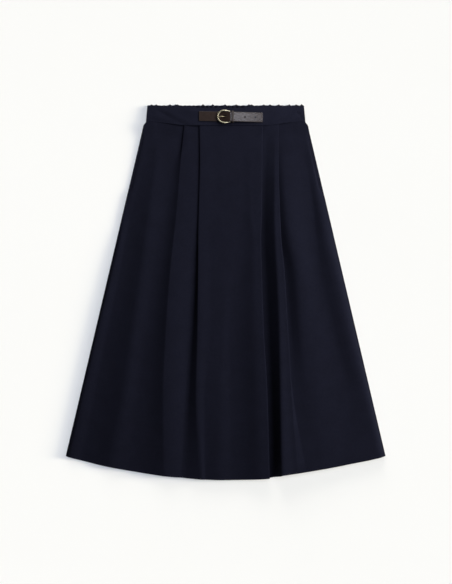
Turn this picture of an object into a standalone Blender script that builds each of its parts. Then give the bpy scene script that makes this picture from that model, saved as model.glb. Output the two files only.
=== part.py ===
"""Pleated midi skirt with an elasticated back band and a buckled belt detail, laid flat, front up.

Metres, +Z up. The back panel rests on the plane z = 0. +Y runs from hem to waist and +X to the
viewer's right. The origin lies on that plane, under the middle of the garment's outline.

The front panel is one wall of cloth. Across the skirt it follows fold lines, alternately a crest
and a trough, and between two of them it runs as an arc, a straight and an arc, tangent to each
other and level at both fold lines. Where a trough lies back under its crest, the wall doubles
back and makes a knife pleat; where the trough lies past the crest, it makes an open flute.
"""
import math

import bmesh
import bpy
import numpy as np

MM = 0.001

# Driving dimensions. DOWN is the distance from the band's seam towards the hem.
SEAM_Y = 349.85 * MM
SEAM_HALF_WIDTH = 173.0 * MM
FLARE = 0.2355
HEM_DOWN = 743.5 * MM
HEM_CORNER_RISE = 49.5 * MM
HEM_HALF_WIDTH = 337.0 * MM
BACK_HEM_SHORTER = 4.0 * MM
BACK_HEM_NARROWER = 0.5 * MM
SEAM_SIDE_RISE = 8.6 * MM
SEAM_LEVEL_HALF = 70.0 * MM
SHOULDER = 5.6 * MM

BAND_TOP_HALF_WIDTH = 164.8 * MM
BAND_SEAM_HALF_WIDTH = 167.4 * MM
BAND_TOP_UP = 41.2 * MM
BAND_DIP = 3.8 * MM
BAND_DIP_FROM = -80.0 * MM
BAND_DIP_TO = 56.0 * MM
BAND_DIP_EASE = 25.0 * MM
BAND_THICKNESS = 2.0 * MM
BAND_MIDDLE_Z = 8.2 * MM
BAND_SIDE_Z = 4.4 * MM
BAND_CROWN_HALF = 62.0 * MM
BAND_CROWN_FADE = 105.0 * MM
BAND_TOP_SAG = 0.4
BAND_SAG_FROM = 0.78
BAND_COLUMNS = 49
BAND_ROWS = 7

FRILL_UP = 43.4 * MM
BACK_BAND_THICKNESS = 1.4 * MM
GATHERS = 32
COLUMNS_PER_GATHER = 4
# waves across the width, amount and shift of each drift that sets the gathers unevenly apart
GATHER_DRIFTS = ((3, 0.006, 0.0), (7, 0.004, 1.0))
BAND_GATHER_RISE = 1.2 * MM
FRILL_EXTRA_RISE = 0.7 * MM
FRILL_SCALLOP = 0.9 * MM
FRILL_FROM = 0.85
BACK_BAND_ROWS = (0.0, 0.3, 0.7, 0.9, 1.0)
PANEL_GATHER_RISE = 1.0 * MM
GATHER_LENGTH = 95.0 * MM
BACK_ROWS = (0.0, 0.25, 0.55, 1.0)

CLOTH = 1.0 * MM
GAP = 0.3 * MM

POCKET_TOP = 10.0 * MM
POCKET_BOTTOM = 146.0 * MM
POCKET_EASE = 16.0 * MM
POCKET_INSET = 6.8 * MM
FACING_WIDTH = 20.0 * MM
FACING_TOP = 5.0 * MM
FACING_BOTTOM = 152.0 * MM
FACING_ROWS = 9
FACING_COLUMNS = 4
EDGE_SETTLE = 95.0 * MM
EDGE_EASE = 60.0 * MM

STRAP_LEFT = -55.8 * MM
STRAP_RIGHT = 77.8 * MM
STRAP_WIDTH = 20.4 * MM
STRAP_THICKNESS = 1.5 * MM
STRAP_MIDDLE_Y = 368.7 * MM
STRAP_SLANT = -0.022
STRAP_COLUMNS = 44
HOLE_PITCH = 21.3 * MM
HOLE_RADIUS = 1.55 * MM
FIRST_HOLE = 62.0 * MM
CUTTER_HEIGHT = 40.0 * MM
PRONG_SLOT_LENGTH = 6.5 * MM
PRONG_SLOT_WIDTH = 3.2 * MM

BAR_X = 9.0 * MM
BAR_RADIUS = 1.1 * MM
FRAME_LEFT = -18.6 * MM
FRAME_HEIGHT = 25.5 * MM
FRAME_RADIUS = 1.9 * MM
FRAME_ARM_LEVEL = -8.0 * MM
FRAME_ROUNDNESS = 1.11
FRAME_DRAW_IN = 1.0 * MM
FRAME_ARM_SHARES = (0.35, 0.7)
FRAME_END_RADIUS = 1.2 * MM
FRAME_CORNER = 2.2 * MM
FRAME_LIFT = 0.8 * MM
TAB_THICKNESS = 1.0 * MM
TAB_WIDTH = 18.0 * MM
TAB_LOWER_END = 42.0 * MM
TAB_UPPER_END = 35.0 * MM
TAB_SLOT_X = 8.0 * MM
TAB_SLOT_WIDTH = 5.2 * MM
TAB_SLOT_LENGTH = 14.0 * MM
TAB_TURN_STEPS = 9
TAB_SETTLE = 13.0 * MM
TAB_SETTLE_STEPS = (2.5 * MM, 5.0 * MM, 8.0 * MM, 12.0 * MM)
KEEPER_X = 14.8 * MM
KEEPER_WIDTH = 4.4 * MM
KEEPER_THICKNESS = 1.0 * MM
KEEPER_CORNER = 1.2 * MM
KEEPER_EASE = 0.4 * MM
KEEPER_FOOT = 1.5 * MM
PRONG_RADIUS = 0.85 * MM
PRONG_HOOK_RADIUS = 0.65 * MM
PRONG_TIP_RADIUS = 0.5 * MM
PUNCHED_HOLES = 2
PRONG_HOLE_NUMBER = 3
# Prong points: offsets along X and Z from the bar, the hole's middle and the rim's crown.
PRONG_OFF_BAR = ((-3.2 * MM, 0.6 * MM),)
PRONG_THROUGH_HOLE = ((2.6 * MM, -1.6 * MM), (0.0, 0.0), (-2.4 * MM, 2.0 * MM))
PRONG_ON_RIM = ((2.0 * MM, 0.0), (-1.0 * MM, 0.0), (-2.6 * MM, -0.5 * MM))

# Fold lines of the front panel, left to right. LEVELS are distances down from the seam.
# lift: how far the hem is drawn up there. leave, arrive: how widely the cloth turns as it leaves
# this line and as it comes to the next, in shares of the room between the two, at most 1 in all.
# across: distance from the middle at each level. height: rise over cloth flat on the back panel.
LEVELS = (0, 70, 180, 240, 300, 430, 560, 745)
FOLD_LINES = (
    # name, lift (mm), leave, arrive,
    # across (mm), height (mm)
    ("left_rim", 0, 0.45, 0.45,
     (-164, -178, -209, -222, -236, -267, -297, -338), (1.4, 1.6, 1.8, 3.6, 4.8, 5.4, 5.4, 5.2)),
    ("left_dip", 0, 0.75, 0.2,
     (-152, -166, -196, -209, -219, -246, -272, -307), (1.4, 1.2, 1, 0.9, 0.8, 0.8, 0.8, 0.8)),
    ("left_ridge", 1, 0.3, 0.6,
     (-143, -147, -159, -167, -174, -193, -211, -246), (0.4, 2.4, 5.5, 6.5, 7, 8, 8.5, 8.5)),
    ("outer_left_in", 1, 0.88, 0.08,
     (-59, -107, -127, -134, -144, -164, -180, -196), (0, 0.6, 2, 3, 3.5, 4, 4, 4)),
    ("outer_left", 1, 0.82, 0.12,
     (-86.5, -93.5, -102, -108.5, -114.8, -124, -129.5, -127), (2.6, 5, 8, 9.8, 11.3, 13.5, 13.8, 12.5)),
    ("inner_left_in", 1, 0.45, 0.25,
     (-26.5, -30, -38, -48, -60.5, -72.5, -81.5, -92), (2.6, 3, 4, 4.2, 4, 3.2, 4, 6.5)),
    ("inner_left", 0, 0.45, 0.45,
     (-54.5, -53.5, -56, -57, -57, -57.5, -60, -50), (5.2, 7.3, 9.2, 11, 12.3, 13.5, 14, 12.5)),
    ("middle_dip", 0, 0.45, 0.45,
     (-16, -20, -24.5, -27, -28, -28, -42, -42), (5.2, 6.6, 9, 9.8, 10, 10.4, 11, 9.5)),
    ("middle_ridge", 0, 0.45, 0.45,
     (-4, -4, -4, -4, -6, -8, -13, -13), (5.2, 7, 9.3, 10, 10.2, 10.2, 12, 12)),
    ("right_dip", 0, 0.64, 0.33,
     (26, 30, 33, 28, 22, 10, 13, 15), (5.2, 7.2, 10, 9.5, 9.3, 9, 9.2, 9.5)),
    ("right_crest", 0, 0.4, 0.5,
     (56, 54, 55, 65, 66, 71, 77, 80), (5.2, 8.4, 12, 13.8, 15.3, 18.2, 19.2, 18.1)),
    ("inner_right", 0, 0.15, 0.6,
     (77, 76, 75, 73, 74.2, 78.2, 85.6, 90.6), (5.2, 9, 12.6, 14.2, 15.5, 18.4, 19.4, 18.2)),
    ("inner_right_in", 0, 0.45, 0.45,
     (49, 52, 58, 60, 61, 68, 76, 83), (2.6, 2.6, 2, 1.5, 1, 0.5, 0.5, 0.5)),
    ("valley", 0, 0.5, 0.2,
     (86, 80, 74, 73, 76, 82, 88, 95), (2.6, 2.4, 0.3, 0, 0, 0, 0, 0)),
    ("roll_left", 5, 0.3, 0.6,
     (105, 104.4, 104.2, 106, 109.5, 114.8, 117, 120), (2.6, 7.6, 14.5, 17.5, 18.5, 20.5, 23.5, 28)),
    ("roll_right", 5, 0.2, 0.4,
     (110, 109.8, 112.4, 115, 121, 129, 137, 150), (2.6, 7.6, 14, 17, 17.8, 19, 20, 22)),
    ("outer_right_in", 5, 0.4, 0.5,
     (84, 101, 105, 108, 120, 131, 141, 176), (0, 0.3, 0.8, 1, 2, 5, 13.2, 18.5)),
    ("right_ridge", 5, 0.45, 0.45,
     (139, 123, 131, 139, 152.5, 163, 176, 206), (0.4, 4, 9.2, 12.2, 12.4, 13.6, 15.6, 17)),
    ("right_hollow", 4, 0.45, 0.45,
     (156, 166, 182, 186, 193, 221, 252, 262), (1.4, 2, 3.2, 4.4, 5.4, 7, 9.4, 13.5)),
    ("right_rim", 1, 0.75, 0.2,
     (164, 179.5, 200, 212, 227, 256, 289, 331), (1.4, 2.8, 7.2, 9.6, 11, 12.2, 12.4, 11)),
)
EDGE_LEAVE = 0.45
EDGE_ARRIVE = 0.45
TIGHTEST_TURN = 0.8 * MM
# The lines after which the cloth takes more samples, because it turns tightly or runs far.
FINE_STRETCHES = (
    "left_ridge", "outer_left_in", "inner_left_in", "inner_right", "valley", "roll_right"
)
FINE_ARC_STEPS = 3
ARC_STEPS = 1
FRONT_ROWS = 22
ROW_CROWDING = 1.2

NAVY = (0.012, 0.012, 0.022, 1.0)
NAVY_INSIDE = (0.016, 0.016, 0.027, 1.0)
BROWN = (0.028, 0.019, 0.014, 1.0)
BRASS = (0.75, 0.56, 0.27, 1.0)


# ---------------------------------------------------------------- materials and meshes
def finish(name, colour, roughness, metallic=0.0):
    material = bpy.data.materials.new(name)
    material.use_nodes = True
    shader = material.node_tree.nodes["Principled BSDF"]
    shader.inputs["Base Color"].default_value = colour
    shader.inputs["Roughness"].default_value = roughness
    shader.inputs["Metallic"].default_value = metallic
    material.diffuse_color = colour
    return material


def add_solid(name, points, faces, material):
    """One closed body, its faces turned outwards and shaded smooth."""
    mesh = bpy.data.meshes.new(name)
    mesh.from_pydata([tuple(point) for point in points], [], faces)
    shape = bmesh.new()
    shape.from_mesh(mesh)
    bmesh.ops.recalc_face_normals(shape, faces=shape.faces)
    shape.to_mesh(mesh)
    shape.free()
    mesh.shade_smooth()
    mesh.set_sharp_from_angle(angle=math.radians(40))
    mesh.materials.append(material)
    solid = bpy.data.objects.new(name, mesh)
    bpy.context.scene.collection.objects.link(solid)
    return solid


def add_wall(name, middle, normal, thickness, material):
    """A wall of even thickness round a grid of middle points, closed along its four edges.

    Each cell is split along the same diagonal, its shorter one, on both faces of the wall.
    """
    rows, columns = middle.shape[:2]
    upper = middle + normal * thickness / 2
    lower = middle - normal * thickness / 2
    points = np.concatenate([upper.reshape(-1, 3), lower.reshape(-1, 3)])
    under = rows * columns
    index = np.arange(under).reshape(rows, columns)
    falling = np.linalg.norm(middle[1:, 1:] - middle[:-1, :-1], axis=2)
    rising = np.linalg.norm(middle[1:, :-1] - middle[:-1, 1:], axis=2)
    faces = []
    for row in range(rows - 1):
        for column in range(columns - 1):
            ring = [index[row, column], index[row + 1, column],
                    index[row + 1, column + 1], index[row, column + 1]]
            if falling[row, column] > rising[row, column]:
                ring = ring[1:] + ring[:1]
            for corners in ((ring[0], ring[1], ring[2]), (ring[0], ring[2], ring[3])):
                faces.append([int(corner) for corner in corners])
                faces.append([int(corner) + under for corner in reversed(corners)])
    border = list(index[0]) + list(index[1:, -1]) + list(index[-1, -2::-1]) + list(index[-2:0:-1, 0])
    for here, there in zip(border, border[1:] + border[:1]):
        faces.append([int(here), int(there), int(there) + under, int(here) + under])
    return add_solid(name, points, faces, material)


def add_tube(name, path, radii, sides, material, closed):
    """A round tube along a path, with one radius a point, closed on itself or capped."""
    path = np.asarray(path)
    if closed:
        along = np.roll(path, -1, axis=0) - np.roll(path, 1, axis=0)
    else:
        along = np.gradient(path, axis=0)
    along /= np.linalg.norm(along, axis=1, keepdims=True)
    upright = np.array((0.0, 0.0, 1.0)) if closed else np.array((0.0, 1.0, 0.0))
    side = np.cross(along, upright)
    side /= np.linalg.norm(side, axis=1, keepdims=True)
    other = np.cross(side, along)
    turn = np.arange(sides) * 2 * math.pi / sides
    ring = side[:, None] * np.cos(turn)[None, :, None] + other[:, None] * np.sin(turn)[None, :, None]
    points = (path[:, None] + ring * np.asarray(radii)[:, None, None]).reshape(-1, 3)
    count = len(path)
    faces = []
    for step in range(count if closed else count - 1):
        following = (step + 1) % count
        for corner in range(sides):
            beside = (corner + 1) % sides
            faces.append(
                [step * sides + corner, step * sides + beside, following * sides + beside,
                 following * sides + corner]
            )
    if not closed:
        faces.append(list(range(sides)))
        faces.append([(count - 1) * sides + corner for corner in reversed(range(sides))])
    return add_solid(name, points, faces, material)


# ---------------------------------------------------------------- curves
def ease(value):
    """0 below 0, 1 above 1, and level at both ends."""
    value = np.clip(value, 0.0, 1.0)
    return value * value * (3 - 2 * value)


def track(levels, values, where):
    """A smooth line through the values, which never swings past one of them."""
    levels = np.asarray(levels, float)
    values = np.asarray(values, float)
    widths = np.diff(levels)
    slopes = np.diff(values) / widths
    before, after = slopes[:-1], slopes[1:]
    same_way = before * after > 0
    total = np.where(same_way, before + after, 1.0)
    inner = np.where(same_way, 2 * before * after / total, 0.0)
    tangents = np.concatenate([slopes[:1], inner, slopes[-1:]])
    cell = np.clip(np.searchsorted(levels, where, side="right") - 1, 0, len(widths) - 1)
    width = widths[cell]
    part = np.clip((where - levels[cell]) / width, 0.0, 1.0)
    rise = ease(part)
    leave = part * (1 - part) ** 2 * width * tangents[cell]
    arrive = part**2 * (1 - part) * width * tangents[cell + 1]
    return values[cell] * (1 - rise) + values[cell + 1] * rise + leave - arrive


def half_width(down):
    """Half the skirt's width: straight side seams that round in to the band at the top."""
    shoulder = SHOULDER * ease(-down / SEAM_SIDE_RISE)
    return SEAM_HALF_WIDTH + FLARE * np.maximum(down, 0.0) - shoulder


def seam_down(across):
    """The seam under the band, which rises towards the side seams."""
    spread = (np.abs(across) - SEAM_LEVEL_HALF) / (BAND_SEAM_HALF_WIDTH - SEAM_LEVEL_HALF)
    return -SEAM_SIDE_RISE * ease(spread)


def hem_down(across):
    return HEM_DOWN - HEM_CORNER_RISE * (across / HEM_HALF_WIDTH) ** 2


def gather_fade(down):
    """1 at the band, 0 where the back panel's gathers have run out."""
    return 1 - ease(down / GATHER_LENGTH)


def flat_level(down):
    """Height of the middle of front cloth that lies flat on the back panel."""
    return CLOTH + PANEL_GATHER_RISE * gather_fade(down) + GAP + CLOTH / 2


def pocket_open(down):
    """1 along the pocket opening, easing to 0 at its two ends."""
    return ease((down - POCKET_TOP) / POCKET_EASE) * ease((POCKET_BOTTOM - down) / POCKET_EASE)


def over_facing(down):
    """Rise of the front panel's edges over the pocket facings, easing out below them."""
    return (CLOTH + GAP) * ease((FACING_BOTTOM + EDGE_SETTLE - down) / EDGE_EASE)


def bend(across, rise, leave, arrive, steps):
    """Level arc, straight, level arc, carrying the cloth across and up by the given amounts.

    The two radii are shares of the room there is: half the rise where the cloth doubles back,
    and more where it runs on. Neither is tighter than the cloth turns, where there is room.
    """
    size = np.maximum(np.abs(rise), 1e-6)
    room = size / 2 + np.maximum(across, 0.0) ** 2 / (2 * size)
    tightest = np.minimum(room / 2, TIGHTEST_TURN)
    before = np.clip(leave * room, tightest, room - tightest)
    after = np.clip(arrive * room, tightest, room - before)
    both = before + after
    run = np.sqrt(np.maximum(across**2 + size**2 - 2 * size * both, 0.0))
    turn = np.arctan2(size - both, across) + np.arctan2(both, run)
    part = np.linspace(0.0, 1.0, steps + 1)
    heading = turn[:, None] * np.concatenate([part, part[::-1]])
    first = np.arange(2 * steps + 2) <= steps
    radius = np.where(first, before[:, None], after[:, None])
    sideways = radius * np.sin(heading)
    upwards = radius * (1 - np.cos(heading))
    x = np.where(first, sideways, across[:, None] - sideways)
    z = np.where(first, upwards, size[:, None] - upwards)
    way = np.where(rise < 0, -1.0, 1.0)[:, None]
    return x, z * way, heading * way


# ---------------------------------------------------------------- front panel
def hem_lifts():
    """How far the hem is drawn up at the left edge, each fold line and the right edge."""
    return np.array([0.0] + [line[1] * MM for line in FOLD_LINES] + [0.0])


def front_lines(part):
    """Across, down and height of each fold line, edges included, part of the way to the hem."""
    tables = [np.array(line[4], float) * MM for line in FOLD_LINES]
    heights = [np.array(line[5], float) * MM for line in FOLD_LINES]
    levels = np.array(LEVELS, float) * MM

    def across_at(down):
        inner = [track(levels, table, down[:, i + 1]) for i, table in enumerate(tables)]
        left = -half_width(down[:, 0]) + POCKET_INSET * pocket_open(down[:, 0])
        right = half_width(down[:, -1]) - POCKET_INSET * pocket_open(down[:, -1])
        return np.stack([left] + inner + [right], axis=1)

    count = len(FOLD_LINES) + 2
    top = np.zeros((1, count))
    hem = np.full((1, count), HEM_DOWN)
    for _ in range(4):
        top = seam_down(across_at(top))
        hem = hem_down(across_at(hem)) - hem_lifts()
    down = top + part[:, None] * (hem - top)
    inner = [track(levels, table, down[:, i + 1]) for i, table in enumerate(heights)]
    left = over_facing(down[:, 0])
    right = over_facing(down[:, -1])
    height = np.stack([left] + inner + [right], axis=1) + flat_level(down)
    return across_at(down), height


def front_surface(rows, arc_steps, fine_arc_steps):
    """Middle points and normals of the front panel, from seam to hem and from left to right."""
    part = np.linspace(0.0, 1.0, rows) ** ROW_CROWDING
    across, height = front_lines(part)
    lifts = hem_lifts()
    stretches = [("left_edge", EDGE_LEAVE, EDGE_ARRIVE)]
    stretches += [(name, leave, arrive) for name, _, leave, arrive, _, _ in FOLD_LINES]
    xs, zs, headings, drawn_up = [], [], [], []
    for i, (name, leave, arrive) in enumerate(stretches):
        steps = fine_arc_steps if name in FINE_STRETCHES else arc_steps
        run = across[:, i + 1] - across[:, i]
        rise = height[:, i + 1] - height[:, i]
        x, z, heading = bend(run, rise, leave, arrive, steps)
        x = x + across[:, i : i + 1]
        z = z + height[:, i : i + 1]
        lift = np.linspace(lifts[i], lifts[i + 1], x.shape[1])
        keep = slice(0, None) if i == 0 else slice(1, None)
        xs.append(x[:, keep])
        zs.append(z[:, keep])
        headings.append(heading[:, keep])
        drawn_up.append(lift[keep])
    x = np.concatenate(xs, axis=1)
    z = np.concatenate(zs, axis=1)
    heading = np.concatenate(headings, axis=1)
    lift = np.concatenate(drawn_up)
    top = seam_down(x[0])
    hem = hem_down(x[-1]) - lift
    down = top + part[:, None] * (hem - top)
    middle = np.stack([x, SEAM_Y - down, z], axis=2)
    normal = np.stack([-np.sin(heading), np.zeros_like(x), np.cos(heading)], axis=2)
    return middle, normal


def make_skirt_front(material):
    middle, normal = front_surface(FRONT_ROWS, ARC_STEPS, FINE_ARC_STEPS)
    return add_wall("skirt_front", middle, normal, CLOTH, material)


# ---------------------------------------------------------------- back panel and bands
def upright(middle):
    """Normals straight up for a grid of points."""
    normal = np.zeros_like(middle)
    normal[:, :, 2] = 1.0
    return normal


def gather_wave(across):
    """0 in the hollows and 1 on the crests of the gathers, for a place from -1 to 1 across."""
    place = across / 2 + 0.5
    for waves, amount, shift in GATHER_DRIFTS:
        place = place + amount * np.sin(2 * math.pi * waves * (across / 2 + 0.5) + shift)
    return 0.5 - 0.5 * np.cos(2 * math.pi * GATHERS * place)


def make_skirt_back(material):
    """The plain back panel: rows through the gathers at the band, then straight to the hem."""
    across = np.linspace(-1.0, 1.0, COLUMNS_PER_GATHER * GATHERS + 1)
    start = seam_down(across * BAND_SEAM_HALF_WIDTH)
    rows = []
    for part in BACK_ROWS:
        down = start + (GATHER_LENGTH - start) * part
        half = half_width(down[0])
        rise = PANEL_GATHER_RISE * gather_fade(part * GATHER_LENGTH) * gather_wave(across)
        rows.append(np.stack([across * half, SEAM_Y - down, CLOTH / 2 + rise], axis=1))
    down = hem_down(across * HEM_HALF_WIDTH) - BACK_HEM_SHORTER
    half = half_width(down[0]) - BACK_HEM_NARROWER
    rows.append(np.stack([across * half, SEAM_Y - down, np.full_like(down, CLOTH / 2)], axis=1))
    middle = np.stack(rows)
    return add_wall("skirt_back", middle, upright(middle), CLOTH, material)


def band_half_width(up):
    return BAND_SEAM_HALF_WIDTH + (BAND_TOP_HALF_WIDTH - BAND_SEAM_HALF_WIDTH) * up / BAND_TOP_UP


def band_height(across, part):
    """Middle of the front band: raised over the pleats, sinking to its top edge and sides."""
    crown = 1 - ease((np.abs(across) - BAND_CROWN_HALF) / BAND_CROWN_FADE)
    sag = 1 - BAND_TOP_SAG * ease((part - BAND_SAG_FROM) / (1 - BAND_SAG_FROM))
    return BAND_SIDE_Z + (BAND_MIDDLE_Z - BAND_SIDE_Z) * crown * sag


def band_top_up(across):
    """Upper edge of the front band, which dips in the middle."""
    into = ease((across - BAND_DIP_FROM) / BAND_DIP_EASE)
    out = ease((BAND_DIP_TO - across) / BAND_DIP_EASE)
    return BAND_TOP_UP - BAND_DIP * into * out


def make_waistband_front(material):
    """The smooth front band, from just above the seam to its dipping upper edge."""
    across = np.linspace(-1.0, 1.0, BAND_COLUMNS)
    bottom = GAP - seam_down(across * BAND_SEAM_HALF_WIDTH)
    rows = []
    for part in np.linspace(0.0, 1.0, BAND_ROWS):
        x = across * band_half_width(part * BAND_TOP_UP)
        up = bottom + (band_top_up(x) - bottom) * part
        rows.append(np.stack([x, SEAM_Y + up, band_height(x, part)], axis=1))
    middle = np.stack(rows)
    return add_wall("waistband_front", middle, upright(middle), BAND_THICKNESS, material)


def make_waistband_back(material):
    """The back band drawn up by its elastic, with a scalloped frill along the top."""
    across = np.linspace(-1.0, 1.0, COLUMNS_PER_GATHER * GATHERS + 1)
    bottom = GAP - seam_down(across * BAND_SEAM_HALF_WIDTH)
    wave = gather_wave(across)
    top = FRILL_UP + FRILL_SCALLOP * (wave - 0.5)
    rows = []
    for part in BACK_BAND_ROWS:
        x = across * band_half_width(part * BAND_TOP_UP)
        up = bottom + (top - bottom) * part
        frill = ease((part - FRILL_FROM) / (1 - FRILL_FROM))
        rise = (BAND_GATHER_RISE + FRILL_EXTRA_RISE * frill) * wave
        rows.append(np.stack([x, SEAM_Y + up, BACK_BAND_THICKNESS / 2 + rise], axis=1))
    middle = np.stack(rows)
    return add_wall("waistband_back", middle, upright(middle), BACK_BAND_THICKNESS, material)


def make_pocket_facing(name, side, material):
    """A strip on the back panel that shows past the front panel's edge, side being -1 or 1."""
    down, inwards = np.meshgrid(
        np.linspace(FACING_TOP, FACING_BOTTOM, FACING_ROWS),
        np.linspace(0.0, FACING_WIDTH, FACING_COLUMNS),
        indexing="ij",
    )
    x = side * (half_width(down) - inwards)
    middle = np.stack([x, SEAM_Y - down, flat_level(down)], axis=2)
    return add_wall(name, middle, upright(middle), CLOTH, material)


# ---------------------------------------------------------------- belt
BAND_FACE = BAND_MIDDLE_Z + BAND_THICKNESS / 2
TAB_LOWER_Z = BAND_FACE + GAP + TAB_THICKNESS / 2
BAR_Z = TAB_LOWER_Z + TAB_THICKNESS / 2 + GAP + BAR_RADIUS
TAB_TURN = BAR_RADIUS + GAP + TAB_THICKNESS / 2
TAB_UPPER_Z = TAB_LOWER_Z + TAB_THICKNESS + GAP
STRAP_FLAT_Z = BAND_FACE + GAP + STRAP_THICKNESS / 2
STRAP_OVER_TAB_Z = TAB_UPPER_Z + TAB_THICKNESS / 2 + GAP + STRAP_THICKNESS / 2
PRONG_TURN = BAR_RADIUS + GAP + PRONG_HOOK_RADIUS
STRAP_OVER_BAR_Z = BAR_Z + PRONG_TURN + PRONG_HOOK_RADIUS + GAP + STRAP_THICKNESS / 2
STRAP_ROUTE = (
    # place along the strap, height of its middle
    (STRAP_LEFT, STRAP_FLAT_Z),
    (-24 * MM, STRAP_FLAT_Z),
    (-11 * MM, STRAP_FLAT_Z + 0.3 * MM),
    (BAR_X - 5 * MM, STRAP_OVER_BAR_Z - 0.9 * MM),
    (BAR_X, STRAP_OVER_BAR_Z),
    (KEEPER_X, STRAP_OVER_BAR_Z - 0.5 * MM),
    (TAB_UPPER_END, STRAP_OVER_TAB_Z + 0.4 * MM),
    (TAB_LOWER_END + 3 * MM, STRAP_OVER_TAB_Z - 0.9 * MM),
    (66 * MM, STRAP_FLAT_Z + 0.6 * MM),
    (STRAP_RIGHT, STRAP_FLAT_Z),
)


def strap_height(across):
    places = [place for place, _ in STRAP_ROUTE]
    return track(places, [height for _, height in STRAP_ROUTE], across)


def belt_y(across):
    """The belt's middle line, a little aslant."""
    return STRAP_MIDDLE_Y + STRAP_SLANT * across


def ribbon(path, width, rows=2):
    """Middle points and normals of a ribbon whose (x, z) path is carried across the belt."""
    path = np.asarray(path)
    along = np.gradient(path, axis=0)
    along /= np.linalg.norm(along, axis=1, keepdims=True)
    offset = np.linspace(-width / 2, width / 2, rows)[:, None]
    x = path[None, :, 0] + np.zeros_like(offset)
    y = belt_y(path[None, :, 0]) + offset
    z = path[None, :, 1] + np.zeros_like(offset)
    middle = np.stack([x, y, z], axis=2)
    normal = np.zeros_like(middle)
    normal[:, :, 0] = -along[None, :, 1]
    normal[:, :, 2] = along[None, :, 0]
    return middle, normal


def cut(solid, cutter):
    """Takes the cutter's shape out of the solid, and leaves the cutter out of the model."""
    cutter.hide_render = True
    cutter.display_type = "WIRE"
    hole = solid.modifiers.new(cutter.name, "BOOLEAN")
    hole.operation = "DIFFERENCE"
    hole.object = cutter


def add_pin_cutter(name, x, y, radius, length, material):
    """An upright round-ended cutter, which stretches along X where length passes its width."""
    sides = 12
    turn = (np.arange(sides) + 0.5) * 2 * math.pi / sides
    stretch = max(length / 2 - radius, 0.0) * np.sign(np.cos(turn))
    outline = np.stack([x + radius * np.cos(turn) + stretch, y + radius * np.sin(turn)], axis=1)
    low = np.column_stack([outline, np.zeros(sides)])
    high = np.column_stack([outline, np.full(sides, CUTTER_HEIGHT)])
    faces = [list(range(sides)), list(range(sides, 2 * sides))]
    for corner in range(sides):
        beside = (corner + 1) % sides
        faces.append([corner, beside, sides + beside, sides + corner])
    return add_solid(name, np.concatenate([low, high]), faces, material)


def make_belt_strap(material):
    across = np.linspace(STRAP_LEFT, STRAP_RIGHT, STRAP_COLUMNS)
    middle, normal = ribbon(np.stack([across, strap_height(across)], axis=1), STRAP_WIDTH)
    strap = add_wall("belt_strap", middle, normal, STRAP_THICKNESS, material)
    for number in range(PUNCHED_HOLES):
        x = FIRST_HOLE - number * HOLE_PITCH
        pin = add_pin_cutter(f"cut_hole_{number}", x, belt_y(x), HOLE_RADIUS, 0.0, material)
        cut(strap, pin)
    x = FIRST_HOLE - PRONG_HOLE_NUMBER * HOLE_PITCH
    slot = add_pin_cutter(
        "cut_prong_hole", x, belt_y(x), PRONG_SLOT_WIDTH / 2, PRONG_SLOT_LENGTH, material
    )
    cut(strap, slot)
    return strap


def make_belt_tab(material):
    """Leather folded round the bar, its two ends lying to the right, with a slot for the prong."""
    turns = np.linspace(-math.pi / 2, -3 * math.pi / 2, TAB_TURN_STEPS)
    loop = [(BAR_X + TAB_TURN * math.cos(t), BAR_Z + TAB_TURN * math.sin(t)) for t in turns]
    lower = [(x, TAB_LOWER_Z) for x in np.linspace(TAB_LOWER_END, BAR_X + TAB_SETTLE, 3)]
    drop = BAR_Z + TAB_TURN - TAB_UPPER_Z
    upper = []
    for reach in TAB_SETTLE_STEPS:
        left_over = float(1 - ease(reach / TAB_SETTLE))
        upper.append((BAR_X + reach, TAB_UPPER_Z + drop * left_over))
    upper.append((TAB_UPPER_END, TAB_UPPER_Z))
    middle, normal = ribbon(lower + loop + upper, TAB_WIDTH)
    tab = add_wall("belt_tab", middle, normal, TAB_THICKNESS, material)
    slot = add_pin_cutter(
        "cut_tab_slot", TAB_SLOT_X, belt_y(BAR_X), TAB_SLOT_WIDTH / 2, TAB_SLOT_LENGTH, material
    )
    cut(tab, slot)
    return tab


def make_belt_keeper(material):
    """A leather loop over the strap, both ends sewn down to the band."""
    strap_top = float(strap_height(np.array([KEEPER_X]))[0]) + STRAP_THICKNESS / 2
    top = strap_top + GAP + KEEPER_EASE + KEEPER_THICKNESS / 2
    reach = STRAP_WIDTH / 2 + GAP + KEEPER_EASE + KEEPER_THICKNESS / 2
    foot = BAND_FACE + GAP + KEEPER_THICKNESS / 2
    turns = np.linspace(0.0, math.pi / 2, 4)
    half = [(reach + KEEPER_FOOT, foot), (reach + KEEPER_EASE, foot), (reach, foot + 2 * KEEPER_EASE)]
    for turn in turns:
        inset = KEEPER_CORNER * (1 - math.cos(turn))
        half.append((reach - inset, top - KEEPER_CORNER * (1 - math.sin(turn))))
    path = np.array(half + [(-y, z) for y, z in reversed(half)])
    along = np.gradient(path, axis=0)
    along /= np.linalg.norm(along, axis=1, keepdims=True)
    x, y = np.meshgrid(
        [KEEPER_X - KEEPER_WIDTH / 2, KEEPER_X + KEEPER_WIDTH / 2], path[:, 0], indexing="ij"
    )
    z = np.broadcast_to(path[:, 1], x.shape)
    middle = np.stack([x, belt_y(KEEPER_X) + y, z], axis=2)
    normal = np.zeros_like(middle)
    normal[:, :, 1] = along[None, :, 1]
    normal[:, :, 2] = -along[None, :, 0]
    return add_wall("belt_keeper", middle, normal, KEEPER_THICKNESS, material)


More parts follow.
